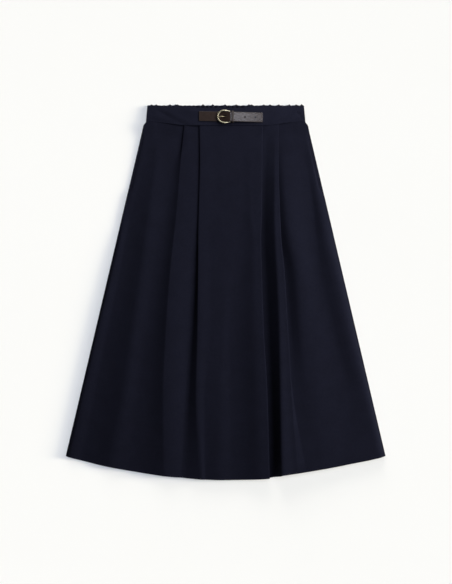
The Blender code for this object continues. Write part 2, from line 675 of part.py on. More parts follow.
def frame_path():
    """Points, radii and rim height: oval rim, two arms that draw in and taper, and the thin bar."""
    half = FRAME_HEIGHT / 2
    reach = half * FRAME_ROUNDNESS
    centre_x = FRAME_LEFT + FRAME_RADIUS + reach
    corner_x = BAR_X - FRAME_CORNER
    rim_z = STRAP_FLAT_Z + STRAP_THICKNESS / 2 + GAP + FRAME_RADIUS + FRAME_LIFT
    rounds = []
    for angle in np.radians(np.arange(90, 271, 12)):
        rounds.append((centre_x + reach * math.cos(angle), half * math.sin(angle), FRAME_RADIUS))
    arm = []
    for share in FRAME_ARM_SHARES:
        radius = FRAME_RADIUS + (FRAME_END_RADIUS - FRAME_RADIUS) * share
        x = centre_x + (corner_x - centre_x) * share
        arm.append((x, half - FRAME_DRAW_IN * share**2, radius))
    for share in (0.0, 0.5, 1.0):
        turn = share * math.pi / 2
        radius = FRAME_END_RADIUS + (BAR_RADIUS - FRAME_END_RADIUS) * share
        x = corner_x + FRAME_CORNER * math.sin(turn)
        arm.append((x, half - FRAME_DRAW_IN - FRAME_CORNER * (1 - math.cos(turn)), radius))
    rounds += [(x, -y, radius) for x, y, radius in arm]
    rounds += [(BAR_X, place * half, BAR_RADIUS) for place in (-0.5, 0.0, 0.5)]
    rounds += arm[::-1]
    path = []
    for x, y, _ in rounds:
        lean = float(ease((BAR_X - x) / (BAR_X - FRAME_ARM_LEVEL)))
        path.append((x, belt_y(BAR_X) + y, BAR_Z + (rim_z - BAR_Z) * lean))
    return path, [radius for _, _, radius in rounds], rim_z


def make_buckle_frame(material):
    path, radii, _ = frame_path()
    return add_tube("buckle_frame", path, radii, 8, material, closed=True)


def make_buckle_prong(material):
    """A rod hooked round the bar, up through the strap's hole, its tip lying on the rim."""
    _, _, rim_z = frame_path()
    hook = []
    for turn in np.radians((-60, -20, 25, 70, 110)):
        hook.append((BAR_X + PRONG_TURN * math.cos(turn), BAR_Z + PRONG_TURN * math.sin(turn)))
    hole_x = FIRST_HOLE - PRONG_HOLE_NUMBER * HOLE_PITCH
    hole_z = float(strap_height(np.array([hole_x]))[0])
    rim_x = FRAME_LEFT + FRAME_RADIUS
    rest_z = rim_z + FRAME_RADIUS + GAP + PRONG_RADIUS
    rod = []
    for ahead, above in PRONG_OFF_BAR:
        rod.append((BAR_X + ahead, BAR_Z + above))
    for ahead, above in PRONG_THROUGH_HOLE:
        rod.append((hole_x + ahead, hole_z + above))
    for ahead, above in PRONG_ON_RIM:
        rod.append((rim_x + ahead, rest_z + above))
    radii = [PRONG_HOOK_RADIUS] * len(hook) + [PRONG_RADIUS] * (len(rod) - 1) + [PRONG_TIP_RADIUS]
    path = [(x, belt_y(BAR_X), z) for x, z in hook + rod]
    return add_tube("buckle_prong", path, radii, 8, material, closed=False)


def main():
    for item in list(bpy.data.objects):
        bpy.data.objects.remove(item, do_unlink=True)
    cloth = finish("navy_cloth", NAVY, 0.85)
    inside = finish("navy_inside", NAVY_INSIDE, 0.85)
    leather = finish("brown_leather", BROWN, 0.4)
    brass = finish("brass", BRASS, 0.25, 1.0)
    make_skirt_back(cloth)
    make_skirt_front(cloth)
    make_pocket_facing("pocket_facing_left", -1, inside)
    make_pocket_facing("pocket_facing_right", 1, inside)
    make_waistband_back(inside)
    make_waistband_front(cloth)
    make_belt_strap(leather)
    make_belt_tab(leather)
    make_belt_keeper(leather)
    make_buckle_frame(brass)
    make_buckle_prong(brass)


main()
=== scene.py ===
"""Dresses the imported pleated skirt: twill panels, gathered back band, leather belt detail, buckle.

Metres, +Z up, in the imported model's own frame. The skirt lies on the plane z = 0 with its back
panel down, +Y from hem to waist. Every shape is a surface on a grid, worked out as whole arrays
from the same sizes as the solids, so each piece lies in the space that its solid holds.
"""
import logging
import math
from dataclasses import dataclass
from enum import Enum

import bpy
import numpy as np
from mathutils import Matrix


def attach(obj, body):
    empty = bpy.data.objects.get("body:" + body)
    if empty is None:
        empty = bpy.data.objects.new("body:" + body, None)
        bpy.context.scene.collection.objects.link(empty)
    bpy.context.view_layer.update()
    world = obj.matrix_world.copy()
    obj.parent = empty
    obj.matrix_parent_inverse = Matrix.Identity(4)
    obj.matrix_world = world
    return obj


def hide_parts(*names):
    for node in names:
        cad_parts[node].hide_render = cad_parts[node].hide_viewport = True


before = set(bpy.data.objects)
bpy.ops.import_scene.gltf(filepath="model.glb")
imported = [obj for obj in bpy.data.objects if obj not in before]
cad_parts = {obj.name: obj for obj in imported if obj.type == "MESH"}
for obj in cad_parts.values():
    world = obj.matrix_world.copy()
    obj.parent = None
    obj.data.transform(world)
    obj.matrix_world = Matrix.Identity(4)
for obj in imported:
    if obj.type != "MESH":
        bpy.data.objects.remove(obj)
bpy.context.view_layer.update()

LOG = logging.getLogger("skirt")
MM = 0.001
ROOT = "root"
UV_NAME = "cloth_metres"
EDGE_NAME = "edge"
UP = np.array((0.0, 0.0, 1.0))
LEATHER_SHARP = 35.0
# How dark the painted shade is in the twill's grooves and in the leather grain's creases.
GROOVE_SHADE = 0.6

Array = np.ndarray
Number = np.ndarray | float
Triple = tuple[float, float, float]
Piece = bpy.types.Object
Material = bpy.types.Material
Socket = bpy.types.NodeSocket


class Side(Enum):
    """A side of the skirt as its front is seen, and the sign of x there."""

    LEFT = -1
    RIGHT = 1


# ---------------------------------------------------------------- curves and grids
def ease(value: Number) -> Number:
    """Three times the square less twice the cube: 0 below 0, 1 above 1, level at both ends."""
    value = np.clip(value, 0.0, 1.0)
    return value * value * (3 - 2 * value)


def bell(value: Number) -> Number:
    """The Gauss curve exp(-value squared): 1 in the middle, near 0 past 2."""
    return np.exp(-np.square(value))


def between(first: Number, second: Number, share: Number) -> Number:
    """The value that lies the given share of the way from the first to the second."""
    return first * (1 - share) + second * share


def track(levels: Array, values: Array, where: Array) -> Array:
    """A smooth line through the values that never swings past one of them.

    Between two levels it is the cubic with the given ends and with end slopes equal to the
    harmonic mean of the slopes on either side, or 0 where those two have opposite signs.

    Args:
        levels: rising places of the values.
        values: one value for each level.
        where: places to work the line out at, any shape.

    Returns:
        The line's value at each place, in the shape of where.
    """
    levels = np.asarray(levels, float)
    values = np.asarray(values, float)
    widths = np.diff(levels)
    slopes = np.diff(values) / widths
    before, after = slopes[:-1], slopes[1:]
    same_way = before * after > 0
    total = np.where(same_way, before + after, 1.0)
    inner = np.where(same_way, 2 * before * after / total, 0.0)
    tangents = np.concatenate([slopes[:1], inner, slopes[-1:]])
    cell = np.clip(np.searchsorted(levels, where, side="right") - 1, 0, len(widths) - 1)
    width = widths[cell]
    part = np.clip((where - levels[cell]) / width, 0.0, 1.0)
    rise = ease(part)
    leave = part * (1 - part) ** 2 * width * tangents[cell]
    arrive = part**2 * (1 - part) * width * tangents[cell + 1]
    return between(values[cell], values[cell + 1], rise) + leave - arrive


def length_along(points: Array, axis: int) -> Array:
    """Running length of a grid's lines.

    Args:
        points: grid of points, its last axis x, y, z.
        axis: the grid axis that the lines follow.

    Returns:
        The length from each line's start to each of its points.
    """
    steps = np.linalg.norm(np.diff(points, axis=axis), axis=-1)
    zero = np.zeros_like(np.take(steps, [0], axis=axis))
    return np.concatenate([zero, np.cumsum(steps, axis=axis)], axis=axis)


def unit(vectors: Array) -> Array:
    """The same vectors, each one long."""
    return vectors / np.maximum(np.linalg.norm(vectors, axis=-1, keepdims=True), 1e-12)


def grid(*coordinates: Number) -> Array:
    """Points from their coordinates, numbers or arrays, all spread out to one shape."""
    return np.stack(np.broadcast_arrays(*coordinates), axis=-1)


def full_turn(count: int) -> Array:
    """That many angles, evenly once round from 0."""
    return np.arange(count) * 2 * math.pi / count


def spokes(side: Array, up: Array, turn: Array) -> Array:
    """Vectors out of each point at each angle: side x cos(turn) + up x sin(turn)."""
    return side[:, None] * np.cos(turn)[None, :, None] + up[:, None] * np.sin(turn)[None, :, None]


# ---------------------------------------------------------------- meshes
def mesh_object(
    name: str,
    points: Array,
    quads: Array,
    uv: Array,
    caps: tuple[tuple[int, ...], ...] = (),
    sharp_degrees: float = 50.0,
    edge: Array | None = None,
) -> Piece:
    """A closed, smoothly shaded mesh object whose faces point outwards.

    The signed volume, a sixth of the sum of corner . (corner x corner) over all triangles, tells
    which way the faces point. Where it is below zero, every ring of corners is turned round.

    Args:
        name: object name.
        points: corners, one row each.
        quads: four corner numbers a face.
        uv: two surface coordinates for each corner.
        caps: faces with more corners, that close open ends.
        sharp_degrees: edges that turn by more than this are shaded sharp.
        edge: nearness of each corner to an edge, from 0 to 1; it marks wear on the brass and a painted
            highlight on the leather.

    Returns:
        The new object, linked to the scene, at the origin.
    """
    first, second, third, fourth = (points[quads[:, i]] for i in range(4))
    volume = np.einsum("ij,ij->", first, np.cross(second, third))
    volume += np.einsum("ij,ij->", first, np.cross(third, fourth))
    for cap in caps:
        corners = points[list(cap)]
        volume += np.einsum("ij,ij->", np.broadcast_to(corners[0], corners[1:-1].shape),
                            np.cross(corners[1:-1], corners[2:]))
    turn = -1 if volume < 0 else 1
    sizes = np.concatenate([np.full(len(quads), 4), np.array([len(cap) for cap in caps], int)])
    loops = np.concatenate([quads[:, ::turn].ravel()] + [np.array(cap)[::turn] for cap in caps])
    starts = np.concatenate([[0], np.cumsum(sizes)[:-1]])
    mesh = bpy.data.meshes.new(name)
    mesh.vertices.add(len(points))
    mesh.vertices.foreach_set("co", np.ascontiguousarray(points, np.float32).ravel())
    mesh.loops.add(len(loops))
    mesh.loops.foreach_set("vertex_index", loops.astype(np.int32))
    mesh.polygons.add(len(sizes))
    mesh.polygons.foreach_set("loop_start", starts.astype(np.int32))
    mesh.update(calc_edges=True)
    layer = mesh.uv_layers.new(name=UV_NAME)
    layer.data.foreach_set("uv", np.ascontiguousarray(uv[loops], np.float32).ravel())
    # Nearness to an edge: wear on the brass, a painted highlight on the leather.
    values = np.zeros(len(points)) if edge is None else edge
    edge_nearness = mesh.attributes.new(EDGE_NAME, "FLOAT", "POINT")
    edge_nearness.data.foreach_set("value", np.ascontiguousarray(values, np.float32))
    mesh.shade_smooth()
    mesh.set_sharp_from_angle(angle=math.radians(sharp_degrees))
    mesh.validate()
    piece = bpy.data.objects.new(name, mesh)
    bpy.context.scene.collection.objects.link(piece)
    return piece


def cloth_shell(
    name: str,
    middle: Array,
    normal: Array,
    thickness: Number,
    uv: Array,
) -> Piece:
    """A closed sheet of cloth round a grid: middle plus and less half the thickness times normal.

    Args:
        name: object name.
        middle: grid of points half way through the cloth, rows by columns by 3.
        normal: unit vectors out of the upper face, or one for the whole sheet.
        thickness: one value, or one for each point.
        uv: flat cloth coordinates of each grid point, in metres.

    Returns:
        The cloth object, its upper and lower faces joined along the four edges.
    """
    rows, columns = middle.shape[:2]
    half = np.broadcast_to(np.asarray(thickness, float), (rows, columns))[..., None] / 2
    points = np.concatenate([(middle + normal * half).reshape(-1, 3),
                             (middle - normal * half).reshape(-1, 3)])
    under = rows * columns
    index = np.arange(under).reshape(rows, columns)
    upper = np.stack([index[:-1, :-1], index[1:, :-1], index[1:, 1:], index[:-1, 1:]], axis=-1)
    upper = upper.reshape(-1, 4)
    border = np.concatenate([index[0], index[1:, -1], index[-1, -2::-1], index[-2:0:-1, 0]])
    following = np.roll(border, -1)
    rim = np.stack([border, following, following + under, border + under], axis=-1)
    quads = np.concatenate([upper, upper[:, ::-1] + under, rim])
    return mesh_object(name, points, quads, np.tile(uv.reshape(-1, 2), (2, 1)))


def swept_skin(
    name: str,
    rings: Array,
    uv: Array,
    closed: bool = False,
    edge: Array | None = None,
    sharp_degrees: float = 50.0,
) -> Piece:
    """A skin over rings of points, each ring joined to the next and round on itself.

    Args:
        name: object name.
        rings: stations by points round by 3.
        uv: two coordinates for each point.
        closed: whether the last ring joins the first. Otherwise both ends get a cap.
        edge: nearness of each point to an edge; it marks wear on the brass and a painted highlight on the
            leather.
        sharp_degrees: edges that turn by more than this are shaded sharp.

    Returns:
        The closed body.
    """
    stations, around = rings.shape[:2]
    index = np.arange(stations * around).reshape(stations, around)
    after = np.roll(index, -1, axis=0)
    beside = np.roll(index, -1, axis=1)
    diagonal = np.roll(after, -1, axis=1)
    quads = np.stack([index, beside, diagonal, after], axis=-1)
    quads = (quads if closed else quads[:-1]).reshape(-1, 4)
    caps = () if closed else (tuple(index[0, ::-1].tolist()), tuple(index[-1].tolist()))
    edge_nearness = None if edge is None else edge.reshape(-1)
    return mesh_object(
        name, rings.reshape(-1, 3), quads, uv.reshape(-1, 2), caps, sharp_degrees, edge_nearness
    )


def stitches(
    name: str,
    places: Array,
    along: Array,
    up: Array,
    length: float,
    radius: float,
) -> Piece:
    """A row of sewn stitches: small round-ended lozenges, each sunk in at both ends.

    A stitch is a tube of 6 sides through 5 stations t from -1 to 1. Its radius is the given one
    times the root of 1 - 0.9 t squared, and its middle line dips by radius times t squared.

    Args:
        name: object name.
        places: middle of each stitch.
        along: unit vector of each stitch's run.
        up: unit vector out of the surface at each stitch.
        length: length of one stitch.
        radius: half the thread's thickness.

    Returns:
        One object with all the stitches of the row.
    """
    stations, sides = 5, 6
    station = np.linspace(-1.0, 1.0, stations)
    turn = full_turn(sides)
    middle = places[:, None] + along[:, None] * (station * length / 2)[None, :, None]
    middle = middle - up[:, None] * (radius * station**2)[None, :, None]
    wide = radius * np.sqrt(1 - 0.9 * station**2)
    ring = spokes(np.cross(up, along), up, turn)
    points = middle[:, :, None] + ring[:, None] * wide[None, :, None, None]
    index = np.arange(stations * sides).reshape(stations, sides)
    beside = np.roll(index, -1, axis=1)
    one = np.stack([index[:-1], beside[:-1], beside[1:], index[1:]], axis=-1).reshape(-1, 4)
    offsets = index.size * np.arange(len(places))
    quads = (one[None] + offsets[:, None, None]).reshape(-1, 4)
    caps = tuple(tuple((end_ring + shift).tolist())
                 for shift in offsets for end_ring in (index[0, ::-1], index[-1]))
    uv = np.tile(grid(station[:, None], turn[None]).reshape(-1, 2), (len(places), 1))
    return mesh_object(name, points.reshape(-1, 3), quads, uv * length, caps)


def dress(piece: Piece, material: Material, slot: str, *nodes: str) -> None:
    """Gives a piece its material, ties it to the body and lets it stand for its nodes.

    Args:
        piece: the finished object.
        material: its material.
        slot: not used.
        nodes: solids that the piece stands for.
    """
    piece.data.materials.clear()
    piece.data.materials.append(material)
    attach(piece, ROOT)
    if nodes:
        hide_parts(*nodes)
    LOG.info("%s: %d faces, for %s", piece.name, len(piece.data.polygons), nodes or "no node")


# ---------------------------------------------------------------- shader node helpers
class Effect(Enum):
    """Shader node groups that more than one material uses."""

    TWILL = "twill_weave"
    MOTTLE = "cloud_mottle"
    GRAIN = "skin_grain"
    WEAR_AND_HIGHLIGHT = "edge_wear_and_highlight"


class NodeSheet:
    """Short calls that place and join nodes in one tree."""

    def __init__(self, tree: bpy.types.NodeTree) -> None:
        """Keeps the tree that the calls work on."""
        self.tree = tree

    def feed(self, node: bpy.types.Node, values: dict) -> None:
        """Sets or joins some inputs of a node.

        Args:
            node: the node.
            values: input name or number to a constant, or to a socket that feeds it.
        """
        for key, value in values.items():
            if isinstance(value, Socket):
                self.tree.links.new(value, node.inputs[key])
            else:
                node.inputs[key].default_value = value

    def add(self, kind: str, values: dict | None = None, **settings: object) -> bpy.types.Node:
        """Places a node.

        Args:
            kind: Blender's name of the node type.
            values: what its inputs are fed.
            settings: properties of the node itself.

        Returns:
            The new node.
        """
        node = self.tree.nodes.new(kind)
        for key, setting in settings.items():
            setattr(node, key, setting)
        self.feed(node, values or {})
        return node

    def math(self, operation: str, *values: object) -> Socket:
        """A Math node of the given operation on up to three values, and its output socket."""
        return self.add("ShaderNodeMath", dict(enumerate(values)), operation=operation).outputs[0]

    def spread(
        self, value: object, low: float = 0.0, high: float = 1.0,
        to: tuple[float, float] = (0.0, 1.0),
    ) -> Socket:
        """Carries low..high smoothly over to the two given values, clamped at both ends."""
        values = {0: value, 1: low, 2: high, 3: to[0], 4: to[1]}
        return self.add("ShaderNodeMapRange", values, interpolation_type="SMOOTHSTEP").outputs[0]

    def blend(self, share: object, first: object, second: object) -> Socket:
        """Mixes two colours by a share from 0 to 1, and gives the colour socket."""
        values = {0: share, 6: first, 7: second}
        return self.add("ShaderNodeMix", values, data_type="RGBA").outputs[2]

    def noise(self, place: object, scale: object, detail: float, roughness: float) -> object:
        """Fractal noise around 0.5."""
        values = {"Vector": place, "Scale": scale, "Detail": detail, "Roughness": roughness}
        return self.add("ShaderNodeTexNoise", values).outputs[0]

    def bump(self, height: object, distance: float, **under: object) -> Socket:
        """The normal of a bump of the given depth, on top of another one passed as Normal."""
        return self.add("ShaderNodeBump", {"Height": height, "Distance": distance, **under}).outputs[0]

    def clouded(self, mask: object, colour: Triple, spread: float) -> Socket:
        """The colour, darker to lighter by the spread as the mask goes from 0 to 1."""
        return self.blend(mask, scaled(colour, 1 - spread), scaled(colour, 1 + spread))

    def tinted(self, tone: object, mask: object, share: float, tint: object) -> Socket:
        """The tone, with the given share of another colour mixed in where the mask is 1."""
        return self.blend(self.math("MULTIPLY", mask, share), tone, tint)

    def flat_place(self) -> Socket:
        """The piece's own flat coordinates, in metres."""
        return self.add("ShaderNodeUVMap", uv_map=UV_NAME).outputs[0]

    def solid_place(self) -> Socket:
        """The place in space."""
        return self.add("ShaderNodeTexCoord").outputs["Object"]

    def edge(self) -> Socket:
        """The piece's edge value."""
        return self.add("ShaderNodeAttribute", attribute_name=EDGE_NAME).outputs["Fac"]


def effect_group(
    effect: Effect, numbers: dict[str, float], outputs: tuple[str, ...]
) -> tuple[NodeSheet, object, bpy.types.Node]:
    """An empty node group that takes a place and some numbers.

    Args:
        effect: which effect the group is.
        numbers: name and start value of each number socket.
        outputs: names of the value sockets that the group puts out.

    Returns:
        The group's sheet, its given sockets by name, and its output node.
    """
    tree = bpy.data.node_groups.new(effect.value, "ShaderNodeTree")
    tree.interface.new_socket(name="Place", in_out="INPUT", socket_type="NodeSocketVector")
    for name, start in numbers.items():
        socket = tree.interface.new_socket(name=name, in_out="INPUT", socket_type="NodeSocketFloat")
        socket.default_value = start
    for name in outputs:
        tree.interface.new_socket(name=name, in_out="OUTPUT", socket_type="NodeSocketFloat")
    sheet = NodeSheet(tree)
    return sheet, sheet.add("NodeGroupInput").outputs, sheet.add("NodeGroupOutput")


def build_twill() -> bpy.types.NodeTree:
    """Twill: diagonal ribs, 0.5 + 0.5 sin(2 pi (u + v) / pitch), broken by the crossing threads.

    Returns:
        The group, which puts out a height and a mask of the ribs' tops.
    """
    sheet, given, out = effect_group(Effect.TWILL, {"Pitch": 0.7 * MM}, ("Height", "Rib"))
    flat = sheet.add("ShaderNodeSeparateXYZ", {0: given["Place"]}).outputs
    scale = sheet.math("DIVIDE", 2 * math.pi, given["Pitch"])
    diagonal = sheet.math("ADD", flat[0], flat[1])
    rib = sheet.math("SINE", sheet.math("MULTIPLY", diagonal, scale))
    finer = sheet.math("MULTIPLY", sheet.math("MULTIPLY", flat[1], scale), 2.0)
    both = sheet.math("MULTIPLY_ADD", sheet.math("SINE", finer), 0.35, rib)
    height = sheet.math("MULTIPLY_ADD", both, 0.37, 0.5)
    sheet.feed(out, {"Height": height, "Rib": sheet.spread(height, 0.35, 0.9)})
    return sheet.tree


def build_mottle() -> bpy.types.NodeTree:
    """Clouds: fractal noise at the given size, with finer specks at a seventh of it.

    Returns:
        The group, which puts out broad clouds, fine specks and a height of soft dents.
    """
    sheet, given, out = effect_group(Effect.MOTTLE, {"Size": 0.03}, ("Clouds", "Specks", "Dents"))
    scale = sheet.math("DIVIDE", 1.0, given["Size"])
    broad = sheet.noise(given["Place"], scale, 4.0, 0.55)
    fine = sheet.noise(given["Place"], sheet.math("MULTIPLY", scale, 7.0), 3.0, 0.6)
    sheet.feed(out, {"Clouds": sheet.spread(broad, 0.3, 0.7), "Specks": sheet.spread(fine, 0.35, 0.7),
                     "Dents": sheet.math("MULTIPLY_ADD", fine, 0.25, broad)})
    return sheet.tree


def build_grain() -> bpy.types.NodeTree:
    """Leather grain: distance to the nearest cell border, smoothed, so that pebbles stand up.

    Returns:
        The group, which puts out the grain's height and the mask of its creases.
    """
    sheet, given, out = effect_group(Effect.GRAIN, {"Size": 1.1 * MM}, ("Height", "Crease"))
    values = {"Vector": given["Place"], "Scale": sheet.math("DIVIDE", 1.0, given["Size"])}
    cells = sheet.add("ShaderNodeTexVoronoi", values, feature="DISTANCE_TO_EDGE")
    pebble = sheet.spread(cells.outputs["Distance"], 0.0, 0.3)
    sheet.feed(out, {"Height": pebble, "Crease": sheet.math("SUBTRACT", 1.0, pebble)})
    return sheet.tree


def build_wear_and_highlight() -> bpy.types.NodeTree:
    """Rubbed brass and the leather's painted edge highlight: the edge value, broken up by noise, carried
    smoothly from 0 to 1.

    Returns:
        The group, which puts out the mask of rubbed brass and of the leather's painted highlight.
    """
    sheet, given, out = effect_group(Effect.WEAR_AND_HIGHLIGHT, {"Edge": 0.0, "Size": 2 * MM}, ("WornAndLit",))
    noise = sheet.noise(given["Place"], sheet.math("DIVIDE", 1.0, given["Size"]), 3.0, 0.5)
    broken = sheet.math("MULTIPLY_ADD", noise, 0.6, given["Edge"])
    sheet.feed(out, {"WornAndLit": sheet.spread(broken, 0.55, 1.25)})
    return sheet.tree


class EffectShelf:
    """Builds each shared node group once and places it in materials."""

    MAKERS = {
        Effect.TWILL: build_twill,
        Effect.MOTTLE: build_mottle,
        Effect.GRAIN: build_grain,
        Effect.WEAR_AND_HIGHLIGHT: build_wear_and_highlight,
    }

    def __init__(self) -> None:
        """Starts with an empty shelf."""
        self.trees: dict[Effect, bpy.types.NodeTree] = {}

    def place(self, sheet: NodeSheet, effect: Effect, where: object, **values: object) -> object:
        """Places an effect in a material.

        Args:
            sheet: the material's nodes.
            effect: which effect.
            where: the socket that says where on the piece a point is.
            values: values or feeding sockets of its other inputs.

        Returns:
            The outputs of the group node, by name.
        """
        if effect not in self.trees:
            self.trees[effect] = self.MAKERS[effect]()
        values["Place"] = where
        return sheet.add("ShaderNodeGroup", values, node_tree=self.trees[effect]).outputs


def blank_material(name: str) -> tuple[Material, NodeSheet, bpy.types.Node]:
    """A new material, ready to be given its nodes.

    Args:
        name: the material's name.

    Returns:
        The material, its sheet of nodes and its Principled shader.
    """
    material = bpy.data.materials.new(name)
    material.use_nodes = True
    tree = material.node_tree
    return material, NodeSheet(tree), tree.nodes["Principled BSDF"]


def scaled(colour: Triple, factor: float = 1.0) -> tuple[float, ...]:
    """The colour times the factor, with full alpha."""
    return (colour[0] * factor, colour[1] * factor, colour[2] * factor, 1.0)


# ---------------------------------------------------------------- finishes
@dataclass(frozen=True)
class TwillFinish:
    """Matt navy twill: ribs that follow the cloth, faint clouds of tone, soft small dents.

    The shares say how strongly the nap's specks darken the tone and how strongly painted shade darkens the
    grooves between the ribs.
    The specks are as many tone spreads darker as the nap's depth says.
    """

    name: str
    colour: Triple
    tone_spread: float = 0.07
    nap_share: float = 0.45
    nap_depth: float = 1.6
    groove_shade_share: float = 0.18
    pitch: float = 0.7 * MM
    rib_depth: float = 0.06 * MM
    cloud_size: float = 26 * MM
    nap_size: float = 5.2 * MM
    dent_depth: float = 0.35 * MM
    roughness: tuple[float, float] = (0.85, 0.95)
    specular: float = 0.1

    def make(self, shelf: EffectShelf) -> Material:
        """Builds the material.

        Args:
            shelf: the shared effects.

        Returns:
            The material, its weave on the piece's own flat cloth coordinates.
        """
        material, sheet, shader = blank_material(self.name)
        flat = sheet.flat_place()
        weave = shelf.place(sheet, Effect.TWILL, flat, Pitch=self.pitch)
        clouds = shelf.place(sheet, Effect.MOTTLE, sheet.solid_place(), Size=self.cloud_size)
        nap = shelf.place(sheet, Effect.MOTTLE, flat, Size=self.nap_size)
        tone = sheet.clouded(clouds["Clouds"], self.colour, self.tone_spread)
        deep = scaled(self.colour, 1 - self.nap_depth * self.tone_spread)
        tone = sheet.tinted(tone, nap["Specks"], self.nap_share, deep)
        # Painted shade: the grooves between the ribs are darkened.
        groove = sheet.math("SUBTRACT", 1.0, weave["Rib"])
        tone = sheet.tinted(tone, groove, self.groove_shade_share, scaled(self.colour, GROOVE_SHADE))
        dents = sheet.bump(clouds["Dents"], self.dent_depth)
        sheet.feed(shader, {
            "Base Color": tone,
            "Roughness": sheet.spread(nap["Clouds"], to=self.roughness),
            "Specular IOR Level": self.specular,
            "Normal": sheet.bump(weave["Height"], self.rib_depth, Normal=dents),
        })
        return material


@dataclass(frozen=True)
class LeatherFinish:
    """Finished dress-belt leather: pebbled grain, edges made paler by a painted highlight, an even gloss.

    The shares say how strongly painted shade darkens the grain's creases and how strongly the painted
    highlight lightens the edges.
    """

    name: str
    colour: Triple
    edge_highlight_colour: Triple
    tone_spread: float = 0.14
    crease_shade_share: float = 0.35
    edge_highlight_share: float = 0.7
    grain_size: float = 1.1 * MM
    grain_depth: float = 0.014 * MM
    cloud_size: float = 9 * MM
    edge_noise_size: float = 1.6 * MM
    roughness: tuple[float, float] = (0.18, 0.25)

    def make(self, shelf: EffectShelf) -> Material:
        """Builds the material.

        Args:
            shelf: the shared effects.

        Returns:
            The material, its grain on the piece's own surface coordinates.
        """
        material, sheet, shader = blank_material(self.name)
        flat, edge = sheet.flat_place(), sheet.edge()
        grain = shelf.place(sheet, Effect.GRAIN, flat, Size=self.grain_size)
        clouds = shelf.place(sheet, Effect.MOTTLE, flat, Size=self.cloud_size)
        edge_marks = shelf.place(sheet, Effect.WEAR_AND_HIGHLIGHT, flat, Edge=edge, Size=self.edge_noise_size)
        tone = sheet.clouded(clouds["Clouds"], self.colour, self.tone_spread)
        # Painted shade: the grain's creases are darkened.
        dark = scaled(self.colour, GROOVE_SHADE)
        tone = sheet.tinted(tone, grain["Crease"], self.crease_shade_share, dark)
        # Painted highlight: the leather is made paler near its edges and ends.
        tone = sheet.tinted(tone, edge_marks["WornAndLit"], self.edge_highlight_share, scaled(self.edge_highlight_colour))
        height = sheet.math("MULTIPLY_ADD", clouds["Specks"], 0.4, grain["Height"])
        sheet.feed(shader, {
            "Base Color": tone,
            "Roughness": sheet.spread(grain["Crease"], to=self.roughness),
            "Normal": sheet.bump(height, self.grain_depth),
        })
        return material


@dataclass(frozen=True)
class BrassFinish:
    """Light gold plate: bright where it stands out, browner and duller down in the grooves."""

    name: str
    colour: Triple
    groove_colour: Triple
    roughness: tuple[float, float] = (0.2, 0.4)
    edge_noise_size: float = 2.5 * MM
    haze_size: float = 4 * MM
    haze_depth: float = 0.01 * MM

    def make(self, shelf: EffectShelf) -> Material:
        """Builds the material.

        Args:
            shelf: the shared effects.

        Returns:
            The material, which reads the piece's edge value as height over the grooves.
        """
        material, sheet, shader = blank_material(self.name)
        place, edge = sheet.solid_place(), sheet.edge()
        edge_marks = shelf.place(sheet, Effect.WEAR_AND_HIGHLIGHT, place, Edge=edge, Size=self.edge_noise_size)
        haze = shelf.place(sheet, Effect.MOTTLE, place, Size=self.haze_size)
        sheet.feed(shader, {
            "Base Color": sheet.blend(edge_marks["WornAndLit"], scaled(self.groove_colour), scaled(self.colour)),
            "Roughness": sheet.spread(haze["Clouds"], to=self.roughness),
            "Metallic": 1.0,
            "Normal": sheet.bump(haze["Specks"], self.haze_depth),
        })
        return material


@dataclass(frozen=True)
class FloorFinish:
    """A plain pale studio floor, matt, with the faintest clouding."""

    name: str
    colour: Triple
    tone_spread: float = 0.003
    cloud_size: float = 0.4

    def make(self, shelf: EffectShelf) -> Material:
        """Builds the material.

        Args:
            shelf: the shared effects.

        Returns:
            The material, clouded in space.
        """
        material, sheet, shader = blank_material(self.name)
        clouds = shelf.place(sheet, Effect.MOTTLE, sheet.solid_place(), Size=self.cloud_size)
        sheet.feed(shader, {
            "Base Color": sheet.clouded(clouds["Clouds"], self.colour, self.tone_spread),
            "Roughness": 1.0,
            "Specular IOR Level": 0.0,
        })
        return material


NAVY = TwillFinish("navy_twill", (0.0104, 0.0112, 0.0230))
# A lighter copy of the same navy twill: painted light that makes the front band brighter than the skirt.
NAVY_BAND_LIT = TwillFinish("navy_twill_band_lit", (0.0118, 0.0127, 0.0257))
NAVY_INSIDE = TwillFinish("navy_twill_inside", (0.0125, 0.0128, 0.0248), dent_depth=0.25 * MM)
NAVY_THREAD = TwillFinish("navy_thread", (0.013, 0.013, 0.024), pitch=0.35 * MM, specular=0.25)
# The second colour is the painted highlight along the leather's edges.
BROWN = LeatherFinish("brown_leather", (0.034, 0.0215, 0.0175), (0.046, 0.036, 0.032))
BROWN_THREAD = TwillFinish("brown_thread", (0.045, 0.033, 0.027), pitch=0.35 * MM, specular=0.3)
BRASS = BrassFinish("light_gold", (0.51, 0.47, 0.345), (0.18, 0.15, 0.08))
# A darker copy of the gold: painted shade on the prong, which lies in shadow.
SHADED_BRASS = BrassFinish("shaded_gold", (0.33, 0.28, 0.18), (0.12, 0.09, 0.05))
FLOOR = FloorFinish("pale_floor", (0.9, 0.9, 0.9))


